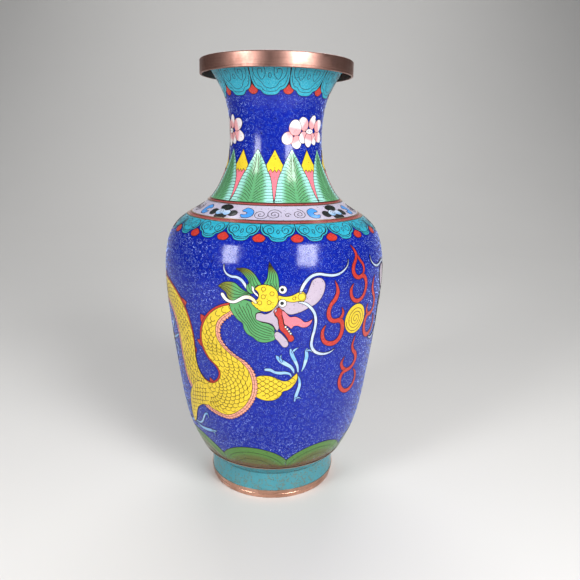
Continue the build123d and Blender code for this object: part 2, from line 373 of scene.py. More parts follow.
def wire(target, path, closed, width, lift, zone, fine=False):
    """Flattened cloisonne wire on edge along a path, standing just proud of the enamel."""
    path = np.asarray(path, float)
    if closed:
        path = path[np.hypot(*(path - np.roll(path, 1, axis=0)).T) > 1e-3]
    base, out = zone.lay(path), zone.facing(path)
    if closed:
        way = np.roll(base, -1, axis=0) - np.roll(base, 1, axis=0)
    else:
        way = np.gradient(base, axis=0)
    way /= np.linalg.norm(way, axis=1)[:, None] + 1e-12
    side = np.cross(out, way)
    w = width / 2
    crest = [(0, lift)] if fine else [(-w * 0.72, lift), (w * 0.72, lift)]
    section = [(-w, -WIRE_SINK), *crest, (w, -WIRE_SINK)]
    k, n = len(section), len(path)
    points = np.concatenate([base + (side * x + out * y) * MM for x, y in section])
    i = np.arange(n if closed else n - 1)
    i2 = (i + 1) % n
    quads = [
        np.stack([j * n + i, j * n + i2, (j + 1) % k * n + i2, (j + 1) % k * n + i], axis=1) for j in range(k)
    ]
    faces = [np.concatenate(quads)]
    if not closed:
        start = np.array([[j * n for j in range(k)]])
        end = np.array([[j * n + n - 1 for j in range(k)]])
        faces += [start, end[:, ::-1]]
    target.add(points, faces)


# -------------------- materials
def node_material(name):
    material = bpy.data.materials.new(name)
    material.use_nodes = True
    tree = material.node_tree
    shader = tree.nodes["Principled BSDF"]
    place = tree.nodes.new("ShaderNodeTexCoord").outputs["Object"]
    return material, tree, shader, place


def noise(tree, place, scale, detail=3.0, roughness=0.5):
    """Noise with features of about 1 / scale metres."""
    node = tree.nodes.new("ShaderNodeTexNoise")
    node.inputs["Scale"].default_value = scale
    node.inputs["Detail"].default_value = detail
    node.inputs["Roughness"].default_value = roughness
    tree.links.new(place, node.inputs["Vector"])
    return node.outputs["Fac"]


def ramp(tree, value, low, high, bottom=0.0, top=1.0):
    """A value between low and high, spread between bottom and top."""
    node = tree.nodes.new("ShaderNodeMapRange")
    node.inputs["From Min"].default_value = low
    node.inputs["From Max"].default_value = high
    node.inputs["To Min"].default_value = bottom
    node.inputs["To Max"].default_value = top
    tree.links.new(value, node.inputs["Value"])
    return node.outputs["Result"]


def math_node(tree, operation, *inputs):
    node = tree.nodes.new("ShaderNodeMath")
    node.operation = operation
    for socket, value in zip(node.inputs, inputs):
        if isinstance(value, float):
            socket.default_value = value
        else:
            tree.links.new(value, socket)
    return node.outputs[0]


def blend_colours(tree, factor, a, b):
    """Mixes two colours, each a tuple or a socket, by a factor socket."""
    node = tree.nodes.new("ShaderNodeMix")
    node.data_type = "RGBA"
    tree.links.new(factor, node.inputs["Factor"])
    for socket, value in ((node.inputs[6], a), (node.inputs[7], b)):
        if isinstance(value, tuple):
            socket.default_value = (*value, 1.0)
        else:
            tree.links.new(value, socket)
    return node.outputs[2]


def bump(tree, height, distance, strength, below=None):
    """Normal of a relief with that height in metres, over the relief below it."""
    node = tree.nodes.new("ShaderNodeBump")
    node.inputs["Strength"].default_value = strength
    node.inputs["Distance"].default_value = distance
    tree.links.new(height, node.inputs["Height"])
    if below is not None:
        tree.links.new(below, node.inputs["Normal"])
    return node.outputs["Normal"]


def tuned(colour, factor):
    """The colour, darker or lighter by a factor."""
    return tuple(min(1.0, c * factor) for c in colour)


# Scales of the noises in the enamel, from its tint to its gloss and the waves of its surface.
TINT_SCALE, PATCH_SCALE, GRAIN_SCALE, VEIN_SCALE = 900, 60, 1500, 130
PIT_SCALE, GLOSS_SCALE, WAVE_SCALE = 1100, 240, 210
WAVE_HEIGHT, PIT_DEPTH = 0.00012, 0.00006


def enamel(name, colour, tip=None, speck=None, speck_share=0.25, cloud=0.2, veins=None):
    """Fired and polished enamel: uneven colour, fine specks, pits and a slightly wavy gloss.

    tip is the colour where a cell's own tint is full, and veins is the colour of thin winding cracks.
    """
    material, tree, shader, place = node_material(name)
    shade = colour
    if tip is not None:
        attribute = tree.nodes.new("ShaderNodeAttribute")
        attribute.attribute_name = "tint"
        rough = noise(tree, place, TINT_SCALE, 2)
        soft = math_node(tree, "MULTIPLY_ADD", rough, 0.3, attribute.outputs["Fac"])
        shade = blend_colours(tree, ramp(tree, soft, 0.12, 1.05), colour, tip)
    patches = ramp(tree, noise(tree, place, PATCH_SCALE, 4, 0.6), 0.35, 0.7, 0, cloud)
    shade = blend_colours(tree, patches, shade, tuned(colour, 0.45))
    if speck is not None:
        grains = ramp(tree, noise(tree, place, GRAIN_SCALE, 2, 0.7), 0.53, 0.66, 0, speck_share)
        shade = blend_colours(tree, grains, shade, speck)
    if veins is not None:
        ridge = math_node(tree, "COMPARE", noise(tree, place, VEIN_SCALE, 4, 0.7), 0.5, 0.012)
        shade = blend_colours(tree, ramp(tree, ridge, 0, 1, 0, 0.75), shade, veins)
    pits = ramp(tree, noise(tree, place, PIT_SCALE, 1, 0.4), 0.27, 0.32)
    tree.links.new(blend_colours(tree, pits, tuned(colour, 0.25), shade), shader.inputs["Base Color"])
    gloss = ramp(tree, noise(tree, place, GLOSS_SCALE, 5, 0.7), 0.3, 0.7, 0.084, 0.192)
    tree.links.new(gloss, shader.inputs["Roughness"])
    wavy = bump(tree, noise(tree, place, WAVE_SCALE, 2), WAVE_HEIGHT, 0.35)
    tree.links.new(bump(tree, pits, PIT_DEPTH, 0.5, wavy), shader.inputs["Normal"])
    shader.inputs["IOR"].default_value = 1.5
    shader.inputs["Specular IOR Level"].default_value = 0.38
    return material


def copper(name, colour, worn, rough=0.3, brush=True):
    """Turned copper: fine lines round it, soft tarnish and scratches."""
    material, tree, shader, place = node_material(name)
    stretch = tree.nodes.new("ShaderNodeMapping")
    stretch.inputs["Scale"].default_value = (1, 1, 60)
    tree.links.new(place, stretch.inputs["Vector"])
    lines = noise(tree, stretch.outputs["Vector"], 70, 4, 0.6)
    patches = noise(tree, place, 45, 5, 0.65)
    shade = blend_colours(tree, ramp(tree, patches, 0.38, 0.72), colour, worn)
    shade = blend_colours(tree, ramp(tree, lines, 0.45, 0.75, 0, 0.35), shade, tuned(worn, 0.5))
    tree.links.new(shade, shader.inputs["Base Color"])
    tree.links.new(ramp(tree, patches, 0.3, 0.75, rough * 0.75, rough * 1.5), shader.inputs["Roughness"])
    tree.links.new(bump(tree, lines, 0.00005, 0.5 if brush else 0.1), shader.inputs["Normal"])
    shader.inputs["Metallic"].default_value = 1.0
    return material


def wire_metal(name, colour, rough, tarnish=None, scale=180, span=(0.0, 1.0), metallic=1.0):
    """Gilt copper wire, ground flush: soft patches of tarnish along it, which on the curls are patches of
    painted glint.
    """
    material, tree, shader, place = node_material(name)
    bright = ramp(tree, noise(tree, place, scale, 2), *span)
    shade = blend_colours(tree, bright, tarnish or tuned(colour, 0.55), colour)
    tree.links.new(shade, shader.inputs["Base Color"])
    shader.inputs["Metallic"].default_value = metallic
    shader.inputs["Roughness"].default_value = rough
    return material


BLUE = enamel("blue enamel", (0.001, 0.008, 0.26), speck=(0.035, 0.11, 0.64), speck_share=0.5, cloud=0.3)
TURQUOISE = enamel("turquoise enamel", (0.02, 0.34, 0.47), speck=(0.22, 0.62, 0.70), speck_share=0.3)
FOOT_TURQUOISE = enamel("foot turquoise enamel", (0.055, 0.26, 0.31), speck=(0.12, 0.14, 0.14),
                        speck_share=0.5, veins=(0.14, 0.11, 0.05))
RED = enamel("red enamel", (0.46, 0.028, 0.022), speck=(0.75, 0.22, 0.16), speck_share=0.3)
FILLET_RED = enamel("fillet enamel", (0.32, 0.062, 0.060), speck=(0.6, 0.25, 0.2), speck_share=0.3)
YELLOW = enamel("yellow enamel", (0.74, 0.54, 0.03), speck=(0.75, 0.42, 0.02), speck_share=0.35)
SALMON = enamel("salmon enamel", (0.80, 0.34, 0.25), tip=(0.80, 0.36, 0.18), speck=(0.9, 0.5, 0.35))
GREEN = enamel("green enamel", (0.09, 0.33, 0.12), tip=(0.20, 0.21, 0.02), speck=(0.12, 0.42, 0.2))
FEATHER = enamel("leaf enamel", (0.105, 0.335, 0.14), tip=(0.35, 0.70, 0.64), speck=(0.12, 0.42, 0.2))
LILAC = enamel("lilac enamel", (0.50, 0.46, 0.58), speck=(0.40, 0.32, 0.45), speck_share=0.4)
MUZZLE_LILAC = enamel("muzzle enamel", (0.46, 0.38, 0.47), speck=(0.30, 0.25, 0.35), speck_share=0.5)
PINK = enamel("pink enamel", (0.77, 0.175, 0.225), speck=(0.85, 0.4, 0.4))
PETAL = enamel("petal enamel", (0.80, 0.76, 0.78), tip=(0.78, 0.33, 0.35))
WHITE = enamel("white enamel", (0.78, 0.78, 0.78), tip=(0.80, 0.66, 0.35), speck=(0.5, 0.5, 0.5))
BLACK = enamel("black enamel", (0.010, 0.012, 0.012), speck=(0.10, 0.12, 0.11), speck_share=0.4)
SCROLL = enamel("scroll enamel", (0.05, 0.28, 0.74), tip=(0.3, 0.5, 0.8), speck=(0.2, 0.42, 0.8),
                speck_share=0.3)
SKY = enamel("pale blue enamel", (0.22, 0.45, 0.76), tip=(0.58, 0.68, 0.84), speck=(0.2, 0.42, 0.7))
WHISKER = enamel("whisker enamel", (0.37, 0.50, 0.73), tip=(0.64, 0.68, 0.76), speck=(0.3, 0.42, 0.62))
CLAW = enamel("claw enamel", (0.14, 0.38, 0.73), tip=(0.38, 0.56, 0.82), speck=(0.2, 0.42, 0.7))
HILL = enamel("hill enamel", (0.08, 0.205, 0.04), tip=(0.12, 0.055, 0.015), speck=(0.1, 0.3, 0.08))
# Brown enamel of the hem, darkened nearly to black as painted shade under the body's lower edge.
HEM_AND_PAINTED_SHADE = enamel("hem enamel and painted shade", (0.06, 0.018, 0.010), speck=(0.2, 0.06, 0.03))
COUNTER = enamel("counter enamel", (0.05, 0.26, 0.34), speck=(0.02, 0.1, 0.14), speck_share=0.4, cloud=0.5)
RIM = copper("rim copper", (0.46, 0.25, 0.205), (0.21, 0.10, 0.075), rough=0.37)
FOOT_COPPER = copper("foot copper", (0.72, 0.42, 0.31), (0.36, 0.18, 0.12), rough=0.27)
SHELL = copper("copper sheet", (0.62, 0.33, 0.22), (0.30, 0.13, 0.08), rough=0.5, brush=False)
SOLDER = copper("silver solder", (0.68, 0.62, 0.52), (0.35, 0.28, 0.2), rough=0.45, brush=False)
# Wire of the outlines: its copper is darkened nearly to black as a painted dark reflection of the room and
# painted shade along the wires.
WIRE_PAINTED_REFLECTION_AND_SHADE = wire_metal("outline wire with painted reflection and shade", (0.050, 0.030, 0.022), 0.5)
# Wire of the curls: its pale bluish white is a painted glint of the pale room, in patches between dark blue
# enamel left on the wire.
CURL_WIRE_PAINTED_GLINTS = wire_metal("curl wire with painted glints", (0.40, 0.56, 0.94), 0.32, (0.006, 0.020, 0.28), 1500, (0.485, 0.60), 0.3)
GILT = wire_metal("gilt wire", (0.50, 0.31, 0.18), 0.3)


# -------------------- ornament helpers
pieces = {}
# The piece that takes the wires drawn now, last in the list, or None for the zone's own wires.
wire_pieces = [None]


def piece(name, slot=None, material=None, replaces=(), sharp=35):
    """The piece of that name, started when it is first asked for."""
    if name not in pieces:
        pieces[name] = Piece(name, slot, material, replaces, sharp)
    return pieces[name]


def field(target, outline, level=0, zone=BODY, tint=None, grid=2.2, wired=True, width=0.46):
    """Enamel cell with a wire round it. Cells keep the ground's curls off their place."""
    cell(target, outline, CELL_LIFT + level * LEVEL_STEP, zone, tint, grid)
    if wired:
        line(outline, level, zone, width, True)
    zone.taken.append(np.asarray(outline, float))


def line(path, level=0, zone=BODY, width=0.4, closed=False):
    """Wire laid on a level of cells."""
    target = piece(wire_pieces[-1] or f"{zone.name}_wires", "gilt_wire", WIRE_PAINTED_REFLECTION_AND_SHADE)
    wire(target, path, closed, width, WIRE_LIFT + level * LEVEL_STEP, zone)


def flip(points, about):
    """Given points mirrored left to right; None leaves them as they are."""
    if about is None:
        return points
    if isinstance(points, np.ndarray):
        return np.stack([2 * about - points[:, 0], points[:, 1]], axis=1)
    return [(2 * about - q[0], *q[1:]) for q in points]


def moved(points, across, along=0.0):
    return [(q[0] + across, q[1] + along, *q[2:]) for q in points]


def both_sides(half, across, step=0.5):
    """Closed outline from its right half, which is listed from bottom to top, about a place across."""
    left = [(-q[0], *q[1:]) for q in reversed(half) if abs(q[0]) > 1e-6]
    return smooth(moved(half + left, across), True, step)


def resample(path, count):
    run = path_length(path)
    at = np.linspace(0, run[-1], count)
    return np.stack([np.interp(at, run, path[:, 0]), np.interp(at, run, path[:, 1])], axis=1)


def strands(one, other, count, level, about):
    """Hair lines spread between two edges that run the same way, of uneven length."""
    a, b = (resample(smooth(edge), 40) for edge in (one, other))
    for k in range(1, count + 1):
        share, cut = k / (count + 1), int(1.6 * (1 + k % 3))
        line(flip((a * (1 - share) + b * share)[cut:40 - cut], about), level, BODY, 0.48)


def around(zone, count, first_turn, shift=0.0):
    """Places across of a motif repeated round the vase, from a turn in degrees and a shift in repeats."""
    return [zone.ref * math.radians(first_turn + (k + shift) * 360 / count) for k in range(count)]


# -------------------- plain bands
def skin(name, slot, material, low, high, replaces, zone=BODY):
    turned(piece(name, slot, material, replaces), skin_profile(zone, zone.along(low), zone.along(high)))


def plain_bands():
    # The hem's near-black colour is painted shade under the body's lower edge.
    skin("hem_band_and_painted_shade", "brown_enamel", HEM_AND_PAINTED_SHADE, HEM_LINE, HEM_TOP, ["hem_enamel"])
    low = node_low("hem_turquoise")
    skin("hem_skin", "turquoise_enamel", FOOT_TURQUOISE, low, HEM_LINE, ["hem_turquoise"])
    skin("body_blue", "blue_enamel", BLUE, HEM_TOP, LOWER_FILLET[0], ["body_ground"])
    skin("lower_red_band", "red_enamel", FILLET_RED, *LOWER_FILLET, ["lower_fillet"])
    skin("lilac_band", "lilac_enamel", LILAC, LOWER_FILLET[1], UPPER_FILLET[0], ["flower_band"])
    skin("upper_red_band", "red_enamel", FILLET_RED, *UPPER_FILLET, ["upper_fillet"])
    skin("neck_blue", "blue_enamel", BLUE, UPPER_FILLET[1], MOUTH, ["neck_ground"])
    skin("foot_band_enamel", "turquoise_enamel", FOOT_TURQUOISE, foot_low, foot_high, ["foot_enamel"], FOOT)


def arc(centre, radius, start, end, count=7):
    """Points of a rounded arris in a turned outline, angles in degrees."""
    a = np.radians(np.linspace(start, end, count))
    return [(centre[0] + radius * math.cos(x), centre[1] + radius * math.sin(x)) for x in a]


def mouth_rim():
    """Copper rim folded over the mouth: a straight wall, softened arrises and a shallow turned groove."""
    low, high = node_low("mouth_rim"), node_high("mouth_rim")
    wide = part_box("mouth_rim")[1].x / MM
    wall, lip_inner, lip_outer, lip_low = 1.5, 41.2, 42.4, 300.3
    soft, small = 0.9, 0.4
    profile = arc((wide - small, low + small), small, -90, 0)
    profile += [(wide, low + 1.2), (wide - 0.12, low + 1.35), (wide - 0.12, low + 1.6), (wide, low + 1.75)]
    profile += arc((wide - soft, high - soft), soft, 0, 90)
    profile += [(wide - 3.0, high), (wide - 3.2, high - 0.12), (wide - 3.5, high - 0.12), (wide - 3.7, high)]
    profile += arc((lip_inner + soft, high - soft), soft, 90, 180)
    profile += arc((lip_inner + small, lip_low + small), small, 180, 270)
    profile += [(lip_outer, lip_low), (lip_outer, high - wall)]
    profile += [(wide - wall, high - wall), (wide - wall, low)]
    turned(piece("turned_mouth_rim", "rim_copper", RIM, ["mouth_rim"], 25), profile)


def foot_rim():
    """Copper foot ring: flared wall, softened edge at the table and a fine groove under the enamel."""
    low, high = node_low("foot_rim"), node_high("foot_rim")
    wide, bottom_wide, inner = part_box("foot_rim")[1].x / MM, 46.5, 43.5
    soft = 0.8
    lean = (wide - bottom_wide) / (high - low)
    profile = arc((inner + soft, low + soft), soft, 180, 270)
    profile += arc((bottom_wide - soft, low + soft), soft, -90, -6)
    for rise, depth in ((3.6, 0), (3.8, 0.14), (4.2, 0.14), (4.4, 0), (high - low, 0)):
        profile.append((bottom_wide + lean * rise - depth, low + rise))
    profile.append((inner, high))
    turned(piece("turned_foot_rim", "rim_copper", FOOT_COPPER, ["foot_rim"], 25), profile)


# -------------------- borders
# Half of a cloud's scroll line, as shares of its half width and of its height: up the side and curled in.
SCROLL_LINE = [
    (0, 0.17), (0.30, 0.22), (0.50, 0.36), (0.72, 0.47), (0.82, 0.66), (0.68, 0.86), (0.42, 0.88),
    (0.24, 0.72), (0.26, 0.50), (0.42, 0.41), (0.57, 0.53), (0.53, 0.70), (0.40, 0.70), (0.38, 0.59),
]


def cloud_head(target, across, half, zone, top):
    """Trefoil cloud: outline, a line parallel to it and two scrolls turned in towards each other."""
    field(target, both_sides(half, across), 0, zone, grid=1.2)
    wide, low, line_width = half[-1][0], half[0][1], 0.52 if zone is BODY else 0.4
    for side in (-1, 1):
        beside = [(across + side * q[0] * 0.9, top + (q[1] - top) * 0.91) for q in half[:-1]]
        line(smooth(beside, step=0.4), 0, zone, line_width)
        scroll = [(across + side * x * wide, low + y * (top - low)) for x, y in SCROLL_LINE]
        line(smooth(scroll, step=0.4), 0, zone, line_width)
    line(oval(across, low + 0.52 * (top - low), 0.9, 1.6), 0, zone, line_width, True)


SHOULDER_HEAD = [(0, 179.4), (4.4, 180.3), (6.6, 182.9, 1), (9.8, 184.2), (12.2, 187.0), (12.9, 190.5)]
COLLAR_HEAD = [(0, 283.2), (4.6, 284.0), (6.7, 286.3, 1), (9.4, 287.4), (11.2, 290.6), (11.9, 295.0)]
SHOULDER_DROP = [(0, 178.9), (3.2, 179.6), (4.5, 181.6), (2.8, 183.6), (0, 185.0, 1)]
COLLAR_DROP = [(0, 283.8), (2.2, 284.5), (3.5, 286.4), (1.6, 288.3), (0.3, 290.2), (0, 292.0, 1)]


def cloud_border(zone, name, repeats, head, drop, top, drop_grid):
    """Ring of turquoise cloud heads that hang from a border, with a red drop between each two."""
    clouds = piece(f"{name}_cloud_cells", "turquoise_enamel", TURQUOISE, [f"{name}_clouds"])
    drops = piece(f"{name}_drop_cells", "red_enamel", RED, [f"{name}_drops"])
    for across in around(zone, *repeats):
        cloud_head(clouds, across, [*head, (head[-1][0], top, 1)], zone, top)
    for across in around(zone, *repeats, 0.5):
        field(drops, both_sides(drop, across), 1, zone, grid=drop_grid)


def hills():
    """Row of overlapping hills round the bottom of the body, each with two inner arches."""
    target = piece("hill_cells", "hill_enamel", HILL, ["hill_enamel"])
    low = HILLS.along(HEM_TOP) + 0.1
    middle, radius, shown, half = 4.5, 28.5, 20.4, 0.5 * HILLS.around / HILLS_ROUND[0]
    for across in around(HILLS, *HILLS_ROUND):
        start = math.asin((shown - middle) / radius)
        a = np.linspace(start, math.pi - start, 60)
        edge = np.clip(across + radius * np.cos(a), across - half, across + half)
        outline = np.stack([edge, middle + radius * np.sin(a)], axis=1)
        foot = np.stack([np.linspace(across - half, across + half, 24), np.full(24, low)], axis=1)

        def shade(points, across=across):
            away = np.hypot(points[:, 0] - across, points[:, 1] - middle) / radius
            return np.clip((0.80 - away) * 4.0, 0, 0.55) + np.clip((16.5 - points[:, 1]) * 0.22, 0, 1)
        field(target, np.concatenate([outline, foot]), 0, HILLS, shade, 1.6)
        for inner in (0.83, 0.58):
            reach = math.asin(min(0.99, (low - middle) / (radius * inner)))
            path = spiral(across, middle, radius * inner, radius * inner, 0.5 - reach / math.pi, reach)
            line(path, 0, HILLS)
        BODY.taken.append(outline * (BODY_REF / HILL_REF, 1))


# -------------------- flower band
def comma(target, across, along, start, hand):
    """Hooked blue scroll: a stroke round most of a circle, thick at its head."""
    points = []
    for share, half in ((0, 1.1), (0.12, 2.0), (0.35, 2.3), (0.6, 2.2), (0.82, 1.7), (1, 0.4)):
        a = math.radians(start) + hand * share * math.radians(275)
        points.append((across + 3.3 * math.cos(a), along + 3.0 * math.sin(a), half))
    field(target, ribbon(points, 0.5), 0, BAND, grid=1.2)


FLOWERS = [BAND_REF * math.radians(turn) for turn in FLOWER_TURNS]
# Petals as (across, along, half width, half height), and the pale heart's outline, from the flower's middle.
FLOWER_PETALS = ((0, 4.4, 5.4, 2.5), (0.3, -4.5, 4.6, 2.4), (-8.2, -1.0, 3.2, 3.1), (8.0, -0.8, 3.4, 2.9))
FLOWER_HEART = [
    (-5.2, 200.8), (-3.0, 199.8), (0.3, 201.2), (3.2, 199.9), (5.6, 200.9), (6.0, 203.2), (4.2, 205.3),
    (1.2, 204.6), (-1.6, 205.8), (-4.6, 205.0), (-6.0, 203.0),
]
# Spirals between two flowers: (across, along, radius, turns, hand).
BAND_SPIRALS = (
    (-13.0, 202.6, 4.8, 1.9, 1), (-4.4, 203.0, 5.0, 2.1, -1), (11.6, 203.2, 4.6, 2.1, 1),
    (4.2, 202.2, 2.2, 1.1, -1),
)


def flower_band():
    black = piece("flower_petal_cells", "black_enamel", BLACK, ["flower_petals"])
    pale = piece("flower_heart_cells", "white_enamel", SKY, ["flower_hearts"])
    blue = piece("band_scrolls", "turquoise_enamel", SCROLL)
    for across in FLOWERS:
        for x, y, wide, high in FLOWER_PETALS:
            field(black, oval(across + x, 203.3 + y, wide, high), 0, BAND, grid=1.2)
        outline = smooth(moved(FLOWER_HEART, across), True, 0.5)
        field(pale, outline, 1, BAND, lambda points: (points[:, 1] - 200.5) / 4, 1.2)
        line(spiral(across - 1.5, 203.0, 0.4, 2.1, 1.4, 0.4, 1, 0.4), 1, BAND)
        comma(blue, across - 17.0, 203.4, 55, 1)
        comma(blue, across + 17.0, 203.4, 125, -1)
    for across, after in zip(FLOWERS, (*FLOWERS[1:], FLOWERS[0] + BAND.around)):
        middle = (across + after) / 2
        for x, y, radius, turns, hand in BAND_SPIRALS:
            line(spiral(middle + x, y, 0.4, radius, turns, 0.9, hand, 0.45), 0, BAND)


# -------------------- neck
LEAF = [
    (0, 212.9, 1), (13.2, 212.9, 1), (12.5, 219), (12.0, 224), (11.0, 230), (9.5, 234), (7.6, 237.8),
    (6.0, 241.0), (3.9, 244.4), (1.9, 247.4), (0, 250.0, 1),
]
# Where the feather barbs start up the midrib.
BARBS = 209.5 + 2.15 * np.arange(18)
LEAF_WIDTHS, LEAF_HEIGHTS = [q[0] for q in LEAF[1:]], [q[1] for q in LEAF[1:]]
BUD_ROOT = [(0, 213.6, 1), (0.7, 219), (1.3, 224), (2.3, 230), (3.8, 234), (5.6, 237.8, 1)]
BUD_TIP = [
    (0, 236.6, 1), (1.3, 234.6, 1), (2.7, 236.8, 1), (4.6, 234.8, 1), (6.1, 239.6, 1), (0, 249.6, 1),
]


def lappets():
    """Feather leaves round the bottom of the neck, barbed either side of a midrib, and buds between them."""
    leaves = piece("leaf_cells", "leaf_enamel", FEATHER, ["lappet_leaves"])
    tips = piece("bud_tip_cells", "yellow_enamel", YELLOW, ["bud_tips"])
    roots = piece("bud_root_cells", "pink_enamel", PINK, ["bud_roots"])
    for across in around(NECK, *LEAVES):
        def edges(points, across=across):
            half = np.interp(points[:, 1], LEAF_HEIGHTS, LEAF_WIDTHS)
            return (np.abs(points[:, 0] - across) / np.maximum(half, 1) - 0.5) * 3.6
        field(leaves, both_sides(LEAF, across, 0.8), 0, NECK, edges, 1.6)
        for side in (-1, 1):
            for low in BARBS:
                reach = np.interp(low + 5.0, LEAF_HEIGHTS, LEAF_WIDTHS)
                path = [(0.9, low), (reach * 0.34, low + 3.2), (reach * 0.7, low + 5.1), (reach, low + 5.2)]
                path = [(across + side * x, y) for x, y in path if y > 213.2]
                if reach > 1.6:
                    line(smooth(path, step=0.7), 0, NECK, 0.42)
    for across in around(NECK, *LEAVES, 0.5):
        field(roots, both_sides(BUD_ROOT, across, 0.8), 1, NECK, grid=1.6)
        field(tips, both_sides(BUD_TIP, across, 0.8), 2, NECK, grid=1.6)


# Two blossoms that overlap: the middle of each, and its petals' (across, along, half length, half width).
SPRAY = [
    ((14.6, 258.6),
     [(16.4, 254.6, 4.0, 4.0), (9.2, 256.8, 4.4, 3.6), (15.2, 263.2, 4.8, 4.7)]),
    ((28.6, 261.4),
     [(27.6, 256.2, 4.4, 3.4), (33.2, 256.8, 4.2, 3.0), (22.8, 265.9, 4.6, 3.7), (31.6, 267.0, 4.6, 3.2),
      (39.4, 265.2, 5.4, 3.6), (40.4, 258.4, 6.0, 3.4), (22.8, 257.6, 3.9, 3.4)]),
]
PETALS = [(middle, petal) for middle, petals in SPRAY for petal in petals]
PETAL_LONGER, PETAL_WIDER = 1.06, 1.12


def blossoms():
    """Three sprays of pale blossoms, each petal flushed pink towards the middle of its blossom."""
    target = piece("blossom_cells", "white_enamel", PETAL, ["neck_blossoms"])
    a = np.linspace(0, 2 * math.pi, 31)[:-1, None]
    notch, swell = 1 + 0.07 * np.cos(3 * a), 1 + 0.18 * np.cos(a)
    for turn in SPRAY_TURNS:
        shift = NECK_REF * math.radians(turn)
        for level, (middle, (x, y, length, width)) in enumerate(PETALS):
            way = np.array([x, y]) - middle
            way /= np.hypot(*way)
            side, place = np.array([-way[1], way[0]]), np.array([x + shift, y])
            length, width = length * PETAL_LONGER, width * PETAL_WIDER
            points = place + notch * (length * np.cos(a) * way + width * swell * np.sin(a) * side)

            def flush(spots, place=place, way=way, length=length):
                return (0.22 - ((spots - place) @ way) / length) * 2.6
            field(target, points, 1 + level % 4, NECK, flush, 1.0, width=0.36)
        across, along = SPRAY[1][0]
        field(target, oval(across + shift, along, 3.8, 1.7), 5, NECK, grid=1.2, width=0.36)
        for x in (-1.6, 1.4):
            line(circle(across + shift + x, along, 0.5, 0.3), 5, NECK, 0.25, True)


# -------------------- flames and pearl
PEARL = (60.3, 125.3)
SIDE_FLAME = [
    (39.5, 154, 0.2), (41.3, 150, 0.9), (42, 146, 1.5), (40.5, 142, 1.6), (37.5, 138.5, 1.4),
    (36, 134.5, 1.5), (36.3, 131, 1.6), (38, 128.3, 1.5), (41, 127, 1.5), (44.5, 127, 1.6),
    (47, 125.5, 1.7), (48.2, 121.5, 1.7), (47.8, 117, 1.7), (45.5, 113.3, 1.7), (42, 111.5, 1.7),
    (38, 111.8, 1.7), (34.5, 113.8, 1.5), (32.7, 117.5, 1.4), (32.7, 121.5, 1.2), (34.5, 125, 0.3),
]
SIDE_BRANCH = [(44.5, 127.2, 1.3), (46.8, 129, 1.3), (47.6, 132, 1.0), (46.2, 135.5, 0.2)]
TOP_FLAME = [
    (55, 175, 0.2), (57.5, 171.5, 1), (58.8, 168, 1.3), (57.5, 164.8, 1.3), (55.3, 161.5, 1.5),
    (55, 158, 1.6), (57, 154.7, 1.5), (60.5, 153.3, 1.4), (64.5, 154, 1.5), (67.8, 151.5, 1.6),
    (69, 147.5, 1.6), (68, 142.5, 1.5), (64.8, 138.8, 1.5), (60.5, 137.6, 1.5), (56.5, 139, 1.4),
    (53.7, 142.5, 1.3), (53.3, 146.5, 1.3), (55.2, 150, 0.3),
]
TOP_BRANCH = [(59.8, 167.5, 1), (62.5, 164, 1), (65.3, 160.8, 1.1), (66, 157.5, 1.1), (64.5, 154.5, 1)]
LOW_FLAME = [
    (62.5, 113, 0.3), (61.5, 109.5, 0.9), (60.8, 106, 1.2), (62.5, 102, 1.4), (65.8, 98.8, 1.6),
    (67.3, 95, 1.7), (65.5, 91, 1.6), (61.5, 88.5, 1.5), (57.5, 88, 1.5), (54, 86.5, 1.5),
    (52.3, 82.5, 1.6), (53, 78, 1.6), (56, 74, 1.6), (60.5, 71.5, 1.6), (66, 71.8, 1.6), (70.2, 75, 1.5),
    (71.3, 79.5, 1.3), (70, 83.5, 1), (66.5, 87, 0.3),
]
LOW_BRANCH = [(57.5, 88.5, 1.3), (53.5, 91, 1.4), (51.8, 94.5, 1.3), (54, 99.5, 0.2)]


def flame(stroke, branch, about=None, shift=(0.0, 0.0)):
    target = piece("flames", "red_enamel", RED)
    for level, points in enumerate((branch, stroke)):
        field(target, ribbon(moved(flip(points, about), *shift)), level, grid=1.8)


def pearl():
    target = piece("pearl_cell", "yellow_enamel", YELLOW, ["pearl_enamel"])
    field(target, circle(*PEARL, 10.3), 0, grid=2.0)
    line(spiral(*PEARL, 0.6, 9.0, 3.6, 0.7, -1, 0.6), 0, BODY, 0.55)


def flames():
    flame(SIDE_FLAME, SIDE_BRANCH)
    flame(SIDE_FLAME, SIDE_BRANCH, PEARL[0], (0, -2))
    flame(TOP_FLAME, TOP_BRANCH)
    flame(LOW_FLAME, LOW_BRANCH)
    back = BODY.around / 2
    for about, shift in ((None, (back - 4, -4)), (PEARL[0], (back + 6, -48))):
        flame(TOP_FLAME, TOP_BRANCH, about, shift)


